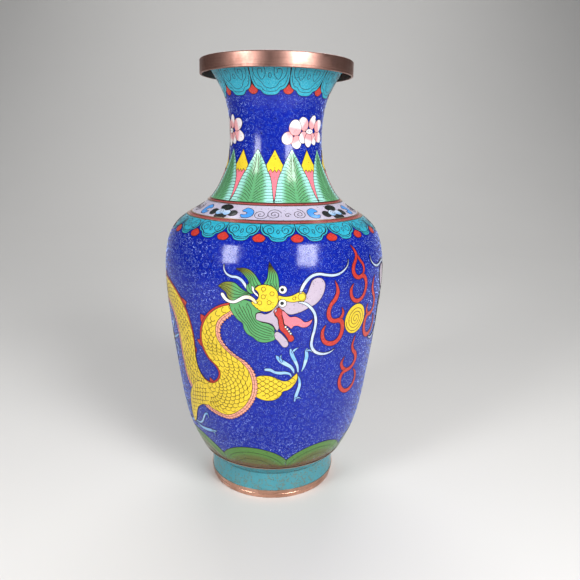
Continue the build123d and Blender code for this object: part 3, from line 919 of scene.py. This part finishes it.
# -------------------- dragons
# Stations down the body, neck to tail: (across, along) of the back edge, then of the belly edge.
SPINE = [
    (-26.5, 140.6, -23.0, 136.5), (-33, 138.8, -28.5, 131.5), (-39, 135.8, -32.5, 128.2),
    (-45, 131, -35.5, 124), (-50, 124.5, -36.6, 119.5), (-53, 117, -36, 115), (-53.6, 110, -32, 109.5),
    (-51.5, 103.5, -26, 104.8), (-47.5, 98, -19.5, 101), (-42, 93.8, -14.5, 95.5), (-40, 90, -12, 88),
    (-40.8, 86.5, -12, 79), (-44, 83, -16, 69.5), (-48.5, 81.2, -24, 61), (-53, 82, -33.5, 56),
    (-57, 85, -45, 56.5), (-59.7, 90, -58, 60.5), (-60.5, 97, -70, 67), (-60, 105, -78, 76.5),
    (-60, 112, -80.5, 88), (-61.5, 120, -81, 101), (-64, 127, -82, 112), (-68.5, 134, -85, 119.5),
    (-75, 139.5, -89, 124), (-83, 143.5, -94, 126.5), (-92, 146, -99.5, 127.6), (-101, 146.5, -104, 126),
    (-110, 144.5, -108, 124.5), (-118, 140, -110.5, 121), (-125.5, 132, -112, 113),
    (-129.5, 122, -112.5, 105), (-131, 111, -113, 96.5), (-131, 100, -114.5, 88),
    (-131.5, 89, -118, 79.5), (-134.5, 79.5, -123, 70), (-140, 72.5, -131, 62), (-147, 70, -141, 58.5),
    (-153, 71.5, -151.5, 60), (-157.5, 77, -160, 67), (-159.5, 85, -165.5, 77.5), (-160, 94, -167, 89),
    (-161, 103, -166.5, 100.5), (-163.5, 111, -167.5, 110), (-167.5, 118.5, -170, 117.5),
]
SKULL = [
    (2.6, 145.5), (1.8, 149), (-1, 151.8), (-5.5, 153), (-9.5, 152.2), (-11.9, 150.2, 1), (-9.5, 147.5),
    (-10, 144), (-14, 141.5), (-11.5, 138.5), (-8, 136.3), (-4, 136), (0, 138), (2.2, 141.5),
]
SKULL_SPOTS = [(-6.5, 150.3), (-1.3, 147.4), (-6.6, 145.4), (-8.8, 141.5), (-3, 141.8)]
EYES = [(5.2, 150), (5.2, 141.5)]
NOSE_BAR = [
    (2.5, 146.3), (6, 145.7), (10, 146), (13, 147.2), (15, 148.2), (17.5, 148.5), (19.3, 147),
    (19.8, 145), (19, 143), (16.8, 142.2), (14.5, 142.4), (12, 142), (8, 142.6), (2.8, 143.4),
]
MUZZLE = [
    (2, 140.5), (3.5, 138.6), (6, 136.4), (9.2, 134.2), (14.4, 134.7), (18.7, 136.3), (22, 138),
    (26, 139.8), (29.7, 143.4), (31.8, 147.8), (32.3, 152.6), (30.2, 155.9), (27.1, 156.7), (23.9, 155.4),
    (22, 151.5), (20.6, 147.8), (17, 143.5), (12, 142.4), (8, 142.9), (3, 142.9),
]
JAW = [
    (1.5, 138.2), (3.5, 138.6), (5.3, 137.6), (6, 135.5), (5, 134.3), (5.6, 131), (6.2, 127.6),
    (8.5, 124.5), (10.8, 120.8), (12.6, 119.5), (13.2, 117.5), (12, 115.9), (10, 115.8), (8.8, 118),
    (6.5, 121.3), (4, 124), (3, 128), (2.5, 131.5), (0.8, 134), (-0.2, 136),
]
TONGUE = [
    (5.2, 137.2), (8, 134.5), (9.8, 132.6), (13.5, 132.6), (17, 130.8), (19.8, 128.6), (22.3, 129),
    (25, 130.4, 1), (23.6, 127.3), (21, 125.2), (18.2, 125.1), (15, 126.4), (12.6, 126.2), (11.2, 124.6),
    (9, 126.3), (6.8, 127.6), (5.9, 131), (5, 134.5),
]
TEETH = [(7.4, 125.9), (8.6, 124.4), (9.7, 122.9), (10.8, 121.3)]
CHIN = [
    (0.5, 121.5), (1.8, 122.8), (4, 122), (6.5, 119.5), (8.8, 116.5), (9.6, 113.8), (8.6, 112.2),
    (6.5, 112), (4.8, 113.5), (3, 116), (1, 118.2),
]
CHEEK = [
    (-11.3, 132.5), (-10.8, 134.3), (-8.5, 135), (-5.5, 134.3), (-2.5, 135.5), (0.5, 138.8), (2.3, 141),
    (1.9, 137), (0.3, 134), (2.2, 131.5), (2.8, 128), (3.2, 125), (2, 123.2), (1, 124.5), (-0.5, 127),
    (-3, 128.4), (-6, 129), (-9, 129.6), (-11, 130.5),
]
LOW_MANE = [
    (-28, 140), (-27.8, 137), (-26, 133), (-23, 129.5), (-19.8, 127.2), (-19.2, 124), (-17, 120.5),
    (-13.5, 118.5), (-10, 115.8), (-6, 115.2), (-2, 116), (0.8, 117.5), (0.6, 121), (0, 125.5),
    (-3, 127.8), (-8, 129), (-11.2, 131), (-11, 134.5), (-8, 136), (-11.5, 138.6), (-14.3, 141.8),
    (-18, 142.8), (-23, 141.2),
]
LOW_MANE_EDGES = (
    [(-27.5, 139.8), (-25.6, 133.5), (-22, 129), (-18.4, 125.6), (-16, 120.6), (-11, 117), (-5, 115.6),
     (0.4, 117.4)],
    [(-15.5, 142), (-12.6, 138), (-12.2, 133.8), (-10.5, 130.2), (-7, 128.2), (-3.6, 127.2),
     (-0.8, 125.6), (0.4, 122.6)],
)
MANE_LOBES = [
    ([(-36, 150, 1), (-32.5, 152.5), (-28, 153.5), (-24, 152.8), (-21.5, 150.8), (-19, 149), (-16, 147.5),
      (-14, 145.5)],
     [(-36, 150, 1), (-33, 148.3), (-30.5, 146.5), (-29.3, 143.6), (-27, 141.8), (-22, 143), (-18, 144.8),
      (-14, 145.5)],
     (-1, 0, 24.5)),
    ([(-24.2, 161.8, 1), (-20, 162.6), (-15.5, 161.8), (-12, 159), (-9.5, 155.5), (-8, 153), (-11, 152),
      (-12, 149.5)],
     [(-24.2, 161.8, 1), (-20.5, 160), (-17.5, 157.2), (-15.6, 154), (-17, 151.5), (-16.5, 148.5),
      (-13.5, 147), (-12, 149.5)],
     (0, 1, 157.5)),
    ([(-3.2, 167, 1), (-1, 163.5), (1.5, 160), (2.6, 156), (2.9, 152), (2.3, 149), (0.5, 149.8)],
     [(-3.2, 167, 1), (-3.6, 164), (-3.8, 160.5), (-4.5, 156.5), (-6.2, 153.2), (-3, 152.2), (0.5, 149.8)],
     (0, 1, 159.5)),
]
CRESCENT = [
    (-13.6, 152), (-12.3, 151), (-12, 148.8), (-9.8, 146.6), (-9.5, 145.3), (-12, 147), (-13.4, 149),
]
HORN = [
    (-32.8, 145, 1.3), (-31, 142.6, 1.2), (-28, 141, 1), (-25, 141, 1), (-21.5, 142.8, 1.1),
    (-18, 144.6, 1.2), (-15, 144.6, 1.2), (-12.8, 143.4, 1.1), (-11.2, 141.6, 0.8),
]
WHISKERS = [
    [(16.2, 148.2, 0.9), (17.5, 151.5, 1.1), (20, 155.2, 1.1), (23.5, 158, 1.0), (28, 158.9, 0.9),
     (33, 158, 0.9), (38, 157.3, 0.9), (43, 158, 0.8), (47, 160, 0.6), (50, 163, 0.4), (50.8, 166.3, 0.2)],
    [(15.5, 142, 0.6), (19.5, 140.8, 0.9), (23, 138, 1), (25.8, 134, 1), (27, 129, 1), (26.5, 123, 1),
     (25.3, 117, 1), (25.2, 112, 1.1), (27.5, 108, 1.1), (32, 105.5, 1), (37, 105, 0.8), (41, 106, 0.5),
     (43.3, 107.5, 0.2)],
    [(-32.2, 164, 0.25), (-32, 161, 0.5), (-30, 158.2, 0.7), (-27, 156.9, 0.8), (-23.5, 156.7, 0.9),
     (-20.5, 155.3, 1), (-18.3, 152.8, 1), (-17, 150.2, 0.6)],
]
FRONT_LEG = [
    (-14, 88.0), (-9.5, 91.2), (-5, 91.6), (0, 90.8), (4, 88.8), (8, 87.6), (11, 88.3), (14, 91),
    (16.3, 93.2, 1), (17, 90.5), (16.2, 87), (14, 83.5), (10.5, 80.8), (6.8, 79.6), (5.5, 76.8), (2, 74),
    (-3, 73), (-8, 73.6), (-14, 77.0),
]
LOW_LEG = [
    (-55, 61.4), (-60.5, 60), (-66, 57), (-71.5, 50.5), (-74.5, 45), (-78.6, 40.5), (-81.4, 39),
    (-82.5, 43), (-81.2, 50), (-79.5, 57), (-77, 64), (-72, 70.5), (-66, 76), (-60, 78.5), (-54, 78),
    (-50, 73), (-51, 66),
]
HIND_LEG = [
    (-114, 104), (-108, 103.5), (-101, 103), (-97, 101.5, 1), (-100, 98.8), (-106, 97), (-114, 93),
]
CLAWS = [
    [(12.6, 90.5, 0.4), (11.5, 92.5, 0.8), (8.5, 93.6, 1.1), (4.5, 93.6, 1.2), (1, 94.2, 1),
     (-2, 95.8, 1.2), (-5.2, 96, 1)],
    [(14.2, 93, 0.4), (13.5, 95.5, 1), (11.5, 98, 1.2), (8, 100.3, 1.5), (5, 102.3, 1.6),
     (2.7, 104.8, 1.2), (1.6, 106.3, 0.3)],
    [(5.4, 102.2, 0.8), (4.6, 104.6, 0.8), (5.2, 106.8, 0.2)],
    [(17, 94, 0.6), (16.3, 98, 1), (14.8, 101.5, 1.2), (13, 105, 1.4), (11.8, 108, 1.4), (11, 110.8, 0.5)],
    [(12.5, 108.5, 0.9), (14.4, 110.2, 0.7), (16.4, 111.2, 0.2)],
    [(19.5, 94, 0.4), (20.8, 97, 0.9), (21.8, 101, 1.3), (22.4, 105, 1.4), (22, 108.5, 1.1),
     (22.4, 110.5, 0.3)],
    [(22.6, 108.8, 0.8), (24.4, 108.8, 0.6), (26.2, 107.2, 0.2)],
    [(17.3, 91, 0.3), (18.3, 88, 0.9), (18.7, 84, 1.2), (17.8, 80, 1.3), (16.6, 76, 1.3),
     (15.8, 72.2, 0.6)],
    [(16.6, 74.2, 0.7), (18.6, 74.6, 0.6), (20.6, 73.6, 0.2)],
    [(-77, 41, 0.6), (-70, 42, 0.8), (-66, 44.5, 0.9), (-62, 49.5, 0.9), (-59.5, 52.5, 0.9),
     (-57, 53.5, 0.8), (-56, 50, 0.3)],
    [(-78, 39.4, 0.5), (-70, 38.2, 1.2), (-62, 38.8, 1.5), (-55, 40, 1.3), (-49.5, 41, 0.4)],
    [(-54.5, 40.0, 0.9), (-52.6, 38.6, 0.7), (-51.5, 36.6, 0.2)],
    [(-82, 41, 0.6), (-86, 38.4, 1.2), (-91, 37.2, 1.2), (-95.5, 38.4, 0.3)],
    [(-84, 45, 0.6), (-88, 49.0, 1.2), (-93, 51.4, 1.3), (-98.5, 51.8, 0.4)],
    [(-98, 101, 0.5), (-91, 103, 1.0), (-86, 105.5, 0.9), (-82, 107.5, 0.3)],
    [(-99, 103, 0.5), (-96, 109, 1.1), (-91, 114, 1.2), (-87, 119, 0.4)],
    [(-99, 99.5, 0.5), (-94, 97, 1.1), (-89, 95.5, 1.1), (-85.5, 92.5, 0.3)],
    [(-102, 98.6, 0.5), (-99, 93, 1.1), (-97.5, 87, 1.2), (-99, 81.5, 0.3)],
]
TAIL_TUFT = [
    [(-168.5, 117.5, 1.6), (-170.5, 122, 2.2), (-171.5, 128, 2.4), (-169.5, 134, 1.8),
     (-165.5, 138.5, 0.3)],
    [(-168.8, 117.5, 1.4), (-172.5, 121, 1.8), (-176, 126, 1.8), (-177.5, 132, 1.3), (-176.0, 137.5, 0.3)],
    [(-168.2, 117.5, 1.4), (-167.2, 122, 1.8), (-164, 126.5, 1.7), (-160, 129.5, 1.2),
     (-156.2, 130.5, 0.3)],
]
# Places on the back that the fins stand nearest to.
BACK_FINS = [
    (-50.5, 126.5), (-53.5, 108), (-47, 82), (-60, 101), (-67.5, 134.8), (-101, 147), (-127, 130),
    (-131.5, 100), (-141, 72), (-159.5, 86),
]
# Widths of the red back edge, of the belly and of its inner line; its teeth and rungs, and the body's scales.
BACK_EDGE, BELLY_WIDE, BELLY_LINE = 1.5, 3.0, 1.3
TOOTH_PITCH, TOOTH_DEPTH, RUNG_PITCH = 2.4, 1.3, 3.2
SCALE_PITCH, ROW_SHARE, SCALE_POINT = 3.6, 0.8, 1.5
# Shares of the pitch that a scale keeps from the edges and from other scales, and how far it is drawn out.
EDGE_SHARE, CROWD_SHARE, DRAWN_OUT = 0.42, 0.6, (0.7, 1.5)
FIN_HIGH, FIN_LOW, FIN_ROOT = 3.7, 1.9, 0.3


def spine_lines(about):
    """Back and belly edges of the body as two arrays, matched point by point."""
    keys, share = np.array(SPINE, float), np.linspace(0, len(SPINE) - 1, 700)
    for stations in (keys[:, :2], keys[:, 2:]):
        path, run = smooth(stations, step=0.5), path_length(stations)
        length = path_length(path)
        want = np.interp(share, np.arange(len(SPINE)), run) / run[-1] * length[-1]
        yield flip(np.stack([np.interp(want, length, path[:, k]) for k in (0, 1)], axis=1), about)


def between(one, other, share):
    return one + (other - one) * np.asarray(share)[..., None]


def strip(target, one, other):
    """Enamel field between two matched lines."""
    field(target, np.concatenate([one, other[::-1]]), 1, grid=1.8)


def scale(place, towards, radius, level, stretch=1.0):
    """Rounded edge of one scale, with its curve towards the tail."""
    side = np.array([-towards[1], towards[0]])
    a = np.linspace(0, math.pi, 7)[:, None]
    curve = np.cos(a) * side + np.sin(a) * towards * SCALE_POINT * stretch
    line(place + radius * curve, level, width=0.42)


def scales_in_outline(outline, towards, level, pitch):
    """Rows of scales that fill an outline."""
    towards = np.array(towards, float) / np.hypot(*towards)
    side = np.array([-towards[1], towards[0]])
    middle = outline.mean(axis=0)
    for row in range(-14, 15):
        for column in range(-9, 10):
            place = middle + towards * row * pitch * ROW_SHARE + side * (column + 0.5 * (row % 2)) * pitch
            ends = place + np.array([(0, 0), side, -side, towards]) * pitch / 2
            if inside(outline, ends).all():
                scale(place, towards, pitch / 2, level)


def body_scales(red, fold):
    """Rows of scales between two matched lines, longer outside a bend and left out where crowded."""
    middle, placed = between(red, fold, 0.5), np.zeros((0, 2))
    run = path_length(middle)
    for row, length in enumerate(np.arange(2.0, run[-1] - 2.0, SCALE_PITCH * ROW_SHARE)):
        k = int(np.interp(length, run, np.arange(len(run))))
        before, after = max(k - 6, 0), min(k + 6, len(run) - 1)
        room = np.hypot(*(fold[k] - red[k]))
        ahead = middle[after] - middle[before]
        for column in range(-4, 5):
            offset = (column + 0.5 * (row % 2)) * SCALE_PITCH
            if abs(offset) > room / 2 - EDGE_SHARE * SCALE_PITCH:
                continue
            share = 0.5 + offset / room
            near = between(red[k], fold[k], share)
            stride = between(red[after], fold[after], share) - between(red[before], fold[before], share)
            if (np.hypot(*(placed - near).T) > CROWD_SHARE * SCALE_PITCH).all():
                placed = np.concatenate([placed, near[None]])
                stretch = np.clip(np.hypot(*stride) / np.hypot(*ahead), *DRAWN_OUT)
                scale(near, ahead / np.hypot(*ahead), SCALE_PITCH / 2, 1, stretch)


def back_fins(target, back, belly, about):
    for place in BACK_FINS:
        spot = flip(np.array([place]), about)[0]
        k = int(np.argmin(np.hypot(*(back - spot).T)))
        k = min(max(k, 8), len(back) - 9)
        away = back[k] - belly[k]
        away /= np.hypot(*away)
        shape = [(*(back[k - 7] - away * FIN_ROOT), 1), (*(back[k - 5] + away * FIN_HIGH), 1),
                 (*(back[k + 2] + away * FIN_LOW),), (*(back[k + 7] - away * FIN_ROOT), 1)]
        field(target, smooth(shape, True, 0.5), 0, grid=1.5)


def dragon_body(name, about):
    back, belly = spine_lines(about)
    wide = np.hypot(*(belly - back).T)
    red = between(back, belly, BACK_EDGE / np.maximum(wide, 5))
    fold = between(back, belly, 1 - np.minimum(0.26, BELLY_WIDE / wide))
    inner = between(back, belly, 1 - np.minimum(0.13, BELLY_LINE / wide))
    run = path_length(belly)
    teeth = np.abs((run / TOOTH_PITCH) % 1 - 0.5) * 2
    edge = belly + (belly - back) / wide[:, None] * (teeth * TOOTH_DEPTH)[:, None]
    strip(piece(name + "_back", "red_enamel", RED), back, red)
    strip(piece(name + "_body", "yellow_enamel", YELLOW), red, fold)
    strip(piece(name + "_belly", "red_enamel", SALMON), fold, edge)
    line(inner, 1, width=0.32)
    rungs = np.interp(np.arange(1.2, run[-1], RUNG_PITCH), run, np.arange(len(run)))
    for k in rungs.astype(int):
        line([fold[k], edge[k]], 1, width=0.28)
    body_scales(red, fold)
    back_fins(piece(name + "_fins", "red_enamel", RED), back, belly, about)


def dragon_limbs(name, about):
    legs = piece(name + "_legs", "yellow_enamel", YELLOW)
    claws = piece(name + "_claws", "white_enamel", CLAW)
    for stroke in CLAWS:
        field(claws, ribbon(flip(stroke, about), 0.5), 0, BODY, lambda points: (points[:, 1] % 17) / 17, 1.4)
    # Outline, which way the scales run, level and scale pitch of each leg. The low leg crosses the body,
    # so its outline is left open where it joins.
    for outline, towards, level, pitch in (
        (FRONT_LEG, (1, 0), 0, 3.7), (LOW_LEG, (-0.7, -0.7), 3, 3.6), (HIND_LEG, (1, 0.1), 0, 3.3),
    ):
        shape = smooth(flip(outline, about), True, 0.6)
        field(legs, shape, level, grid=1.5, wired=level == 0)
        way = towards if about is None else (-towards[0], towards[1])
        scales_in_outline(shape, way, level, pitch)
    line(smooth(flip(LOW_LEG[:-2], about)), 3)
    tuft = piece(name + "_tail", "leaf_enamel", GREEN)
    for stroke in TAIL_TUFT:
        field(tuft, ribbon(flip(stroke, about), 0.6), 0, BODY, lambda points: (points[:, 1] - 124) / 9, 1.6)
        line(smooth(flip([q[:2] for q in stroke], about)), 0)


def dragon_head(name, about):
    """Head with its muzzle to the right and its mane to the left, from the bottom level up."""
    mane = piece(name + "_mane", "leaf_enamel", GREEN)
    lilac = piece(name + "_muzzle", "lilac_enamel", MUZZLE_LILAC)
    yellow = piece(name + "_skull", "yellow_enamel", YELLOW)
    white = piece(name + "_eyes", "white_enamel", WHITE)
    black = piece(name + "_pupils", "black_enamel", BLACK)
    red = piece(name + "_jaw", "red_enamel", RED)
    pink = piece(name + "_tongue", "pink_enamel", PINK)
    pale = piece(name + "_whiskers", "white_enamel", WHISKER)

    def shape(points):
        return smooth(flip(points, about), True, 0.5)

    for stroke, level in zip(WHISKERS, (5, 5, 1)):
        whisker = ribbon(flip(stroke, about), 0.5)
        field(pale, whisker, level, BODY, lambda points: (points[:, 1] % 11) / 14, 1.4)
    for upper, lower, (x, y, start) in MANE_LOBES:
        def tip(points, x=x, y=y, start=start):
            spot = flip(points, about)
            return (spot[:, 0] * x + spot[:, 1] * y - start) / 4
        field(mane, shape([*upper, *reversed(lower[1:-1])]), 2, BODY, tip, 1.5)
        strands(upper, lower, 4, 2, about)
    field(mane, shape(LOW_MANE), 2, grid=1.5)
    strands(*LOW_MANE_EDGES, 6, 2, about)
    for target, outline, level in ((lilac, CHEEK, 3), (lilac, CHIN, 3), (red, JAW, 3), (pink, TONGUE, 4)):
        field(target, shape(outline), level, grid=1.4)
    for x, y in TEETH:
        field(white, flip(circle(x, y, 0.78, 0.35), about), 4, grid=1.0)
    field(lilac, shape(MUZZLE), 4, grid=1.4)
    field(yellow, shape(SKULL), 3, grid=1.4)
    for x, y in SKULL_SPOTS:
        line(flip(circle(x, y, 1.3, 0.4), about), 3, closed=True)
    field(white, shape(CRESCENT), 4, grid=1.2)
    horn = ribbon(flip(HORN, about), 0.5)
    field(white, horn, 4, BODY, lambda points: (flip(points, about)[:, 0] + 20) / 8, 1.3)
    field(yellow, shape(NOSE_BAR), 5, grid=1.3)
    for nostril in (circle(17, 145.3, 2.3, 0.4), circle(12.3, 144.4, 1.0, 0.3)):
        line(flip(nostril, about), 5, closed=True)
    for x, y in EYES:
        field(white, flip(circle(x, y, 2.5, 0.5), about), 6, grid=1.2)
        field(black, flip(circle(x - 0.3, y, 1.15, 0.35), about), 7, grid=1.0, wired=False)


def dragon(name, about):
    """A dragon with its head in front, mirrored left to right about a place across, or not when None."""
    wire_pieces.append(name + "_wires")
    dragon_limbs(name, about)
    dragon_body(name, about)
    dragon_head(name, about)
    wire_pieces.pop()


# -------------------- curls of the ground
WHORL_GAP, CURL_GAP = 5.4, 1.8
TRIES = 30


def scattered(zone, low, high, gap):
    """Places at least a gap apart, scattered at random over a band of the surface."""
    half, size = zone.around / 2, gap / math.sqrt(2)
    stretches = {}
    kept, grid = [], {}
    tries = int(zone.around * (high - low) / gap ** 2 * TRIES)
    for _ in range(tries):
        across, along = random.uniform(-half, half), random.uniform(low, high)
        key = int(along)
        if key not in stretches:
            stretches[key] = float(zone.stretch(along))
        stretch = stretches[key]
        x, y = int((across + half) / (size * 1.2)), int(along / size)
        near = (
            q for dx in range(-4, 5) for dy in (-2, -1, 0, 1, 2) for q in grid.get((x + dx, y + dy), ())
        )
        if all(math.hypot((across - q[0]) / stretch, along - q[1]) > gap for q in near):
            kept.append((across, along))
            grid.setdefault((x, y), []).append((across, along))
    return np.array(kept)


def clearance(zone, spots, reach):
    """How far each spot is from the nearest motif, up to a reach; under 0 inside one."""
    room = np.full(len(spots), float(reach))
    for outline in zone.taken:
        for shift in (-zone.around, 0, zone.around):
            edge = outline + (shift, 0)
            low, high = edge.min(axis=0) - reach, edge.max(axis=0) + reach
            near = np.flatnonzero((spots > low).all(axis=1) & (spots < high).all(axis=1))
            if len(near):
                gap = np.linalg.norm(spots[near][:, None] - edge[None], axis=2).min(axis=1)
                gap[inside(edge, spots[near])] = -1
                room[near] = np.minimum(room[near], gap)
    return room


# Room looked for round a whorl, the least that takes one, and its largest size.
WHORL_ROOM, WHORL_LEAST, WHORL_MOST = 3.6, 2.2, 2.7
CURL_SIZE = 0.75, 1.0
# The curls stop this far under the borders above them.
UNDER_SHOULDER, UNDER_COLLAR = 9, 8


def curls(zone, low, high, name, parts):
    """Wire spirals that hold the plain blue ground: wide whorls, and small curls in the gaps."""
    def coil(across, along, size, turns):
        phase, hand = random.uniform(0, 2 * math.pi), random.choice((-1, 1))
        part = int((across / zone.around + 0.5) * parts) % parts
        path = spiral(across, along, 0.4, size, turns, phase, hand, 0.5, float(zone.stretch(along)))
        target = piece(f"{name}_{part + 1}", "gilt_wire", CURL_WIRE_PAINTED_GLINTS)
        wire(target, path, False, CURL_WIDTH, CURL_LIFT, zone, True)

    spots = scattered(zone, low + 2.6, high - 2.4, WHORL_GAP)
    room = clearance(zone, spots, WHORL_ROOM)
    whorls = [
        (*spot, min(WHORL_MOST, space - 0.4)) for spot, space in zip(spots, room) if space > WHORL_LEAST
    ]
    for across, along, size in whorls:
        coil(across, along, size, size / 1.2)
    whorls = np.array(whorls)
    spots = scattered(zone, low + 1.2, high - 1.0, CURL_GAP)
    spots = spots[clearance(zone, spots, 1.3) > 1.2]
    for across, along in spots:
        beside = np.abs(whorls[:, 0] - across) < 8
        away = np.hypot((whorls[beside, 0] - across) / zone.stretch(along), whorls[beside, 1] - along)
        if (away > whorls[beside, 2] + 0.7).all():
            coil(across, along, random.uniform(*CURL_SIZE), 1.1)


# -------------------- the vase
piece("body_wires", "gilt_wire", WIRE_PAINTED_REFLECTION_AND_SHADE, ["motif_wires"])
plain_bands()
mouth_rim()
foot_rim()
hills()
for border in (
    (BODY, "shoulder", SHOULDER_CLOUDS, SHOULDER_HEAD, SHOULDER_DROP, BODY.along(LOWER_FILLET[0]) + 0.1, 1.5),
    (NECK, "collar", COLLAR_CLOUDS, COLLAR_HEAD, COLLAR_DROP, NECK.along(MOUTH) - 0.1, 1.2),
):
    cloud_border(*border)
flower_band()
lappets()
blossoms()
pearl()
flames()
dragon("dragon_left", None)
dragon("dragon_right", DRAGON_MIRROR)
curls(BODY, BODY.along(HEM_TOP), BODY.along(LOWER_FILLET[0]) - UNDER_SHOULDER, "body_curls", 6)
curls(NECK, NECK.along(UPPER_FILLET[1]), NECK.along(MOUTH) - UNDER_COLLAR, "neck_curls", 1)
for each in pieces.values():
    each.build()

CAD_MATERIALS = (
    (SHELL, ("belly_shell", "shoulder_shell", "neck_shell", "mouth_flare", "base_plate", "foot_band")),
    (SOLDER, ("belly_braze", "neck_braze", "flare_braze", "foot_braze", "rim_solder")),
    (COUNTER, ("base_lining", "body_lining", "neck_lining", "underside_enamel")),
    (GILT, ("border_wires",)),
)
for material, nodes in CAD_MATERIALS:
    for node in nodes:
        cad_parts[node].data.materials.clear()
        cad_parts[node].data.materials.append(material)


# -------------------- room, light and camera
def backdrop():
    """Pale floor that sweeps up into a wall behind the vase."""
    wide, front, back, bend, high = 6.0, -4.0, 2.2, 1.2, 4.0
    turn = np.linspace(0, math.pi / 2, 24)[1:]
    line_yz = [(front, 0.0), (back - bend, 0.0)]
    line_yz += [(back - bend + bend * math.sin(a), bend - bend * math.cos(a)) for a in turn]
    line_yz.append((back, high))
    verts = [(x, y, z) for x in (-wide, wide) for y, z in line_yz]
    n = len(line_yz)
    mesh = bpy.data.meshes.new("backdrop")
    mesh.from_pydata(verts, [], [(k, n + k, n + k + 1, k + 1) for k in range(n - 1)])
    mesh.polygons.foreach_set("use_smooth", [True] * len(mesh.polygons))
    material, tree, shader, place = node_material("backdrop")
    shade = blend_colours(tree, noise(tree, place, 3, 3), (0.66, 0.65, 0.635), (0.63, 0.62, 0.605))
    tree.links.new(shade, shader.inputs["Base Color"])
    shader.inputs["Roughness"].default_value = 0.7
    mesh.materials.append(material)
    sweep = bpy.data.objects.new("backdrop", mesh)
    bpy.context.scene.collection.objects.link(sweep)
    sweep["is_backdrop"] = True


def aimed(name, data, right, up, away, place):
    """Lamp or camera at a place in metres, looking the other way from away."""
    built = bpy.data.objects.new(name, data)
    rows = [(right[k], up[k], away[k], place[k]) for k in range(3)]
    built.matrix_world = Matrix([*rows, (0, 0, 0, 1)])
    bpy.context.scene.collection.objects.link(built)
    return built


def softbox(name, azimuth, elevation, distance, wide, high, power, roll=0.0, target=(0, 0, 0.17)):
    """Rectangular soft light aimed at the vase. Azimuth 0 is in front of it, positive to the right."""
    lamp = bpy.data.lights.new(name, "AREA")
    lamp.shape, lamp.size, lamp.size_y, lamp.energy = "RECTANGLE", wide, high, power
    a, e = math.radians(azimuth), math.radians(elevation)
    away = np.array([math.sin(a) * math.cos(e), -math.cos(a) * math.cos(e), math.sin(e)])
    level, rise = np.array([math.cos(a), math.sin(a), 0.0]), math.radians(roll)
    right = level * math.cos(rise) + np.cross(away, level) * math.sin(rise)
    aimed(name, lamp, right, np.cross(away, right), away, target + distance * away)


def lights():
    softbox("left_softbox", -46, 21.5, 0.95, 0.24, 0.48, 6.4, 9)
    softbox("right_softbox", 35, 25, 0.95, 0.30, 0.64, 11.4, -12)
    softbox("top_softbox", 180, 46, 2.4, 1.8, 1.3, 28.0)
    world = bpy.data.worlds.new("studio")
    bpy.context.scene.world = world
    world.use_nodes = True
    world.node_tree.nodes["Background"].inputs["Color"].default_value = (0.92, 0.95, 1.0, 1.0)
    world.node_tree.nodes["Background"].inputs["Strength"].default_value = 0.13


def camera():
    pitch, yaw, roll = (math.radians(x) for x in (14.146, 1.623, 1.054))
    forward = np.array([math.sin(yaw), math.cos(yaw), 0.0])
    right = np.array([math.cos(yaw), -math.sin(yaw), 0.0])
    up = np.array([0.0, 0.0, 1.0])
    view = forward * math.cos(pitch) - up * math.sin(pitch)
    above = up * math.cos(pitch) + forward * math.sin(pitch)
    x_axis = right * math.cos(roll) + above * math.sin(roll)
    y_axis = above * math.cos(roll) - right * math.sin(roll)
    data = bpy.data.cameras.new("camera")
    data.sensor_width, data.lens = 36.0, 35.69
    data.clip_start = 0.01
    eye = aimed("camera", data, x_axis, y_axis, -view, (0.0, -0.4168, 0.2504))
    bpy.context.scene.camera = eye


backdrop()
lights()
camera()
bpy.context.scene.view_settings.view_transform = "Standard"

visual_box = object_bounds()
{name: [list(corner) for corner in box] for name, box in (("cad", cad_box), ("visual", visual_box))}
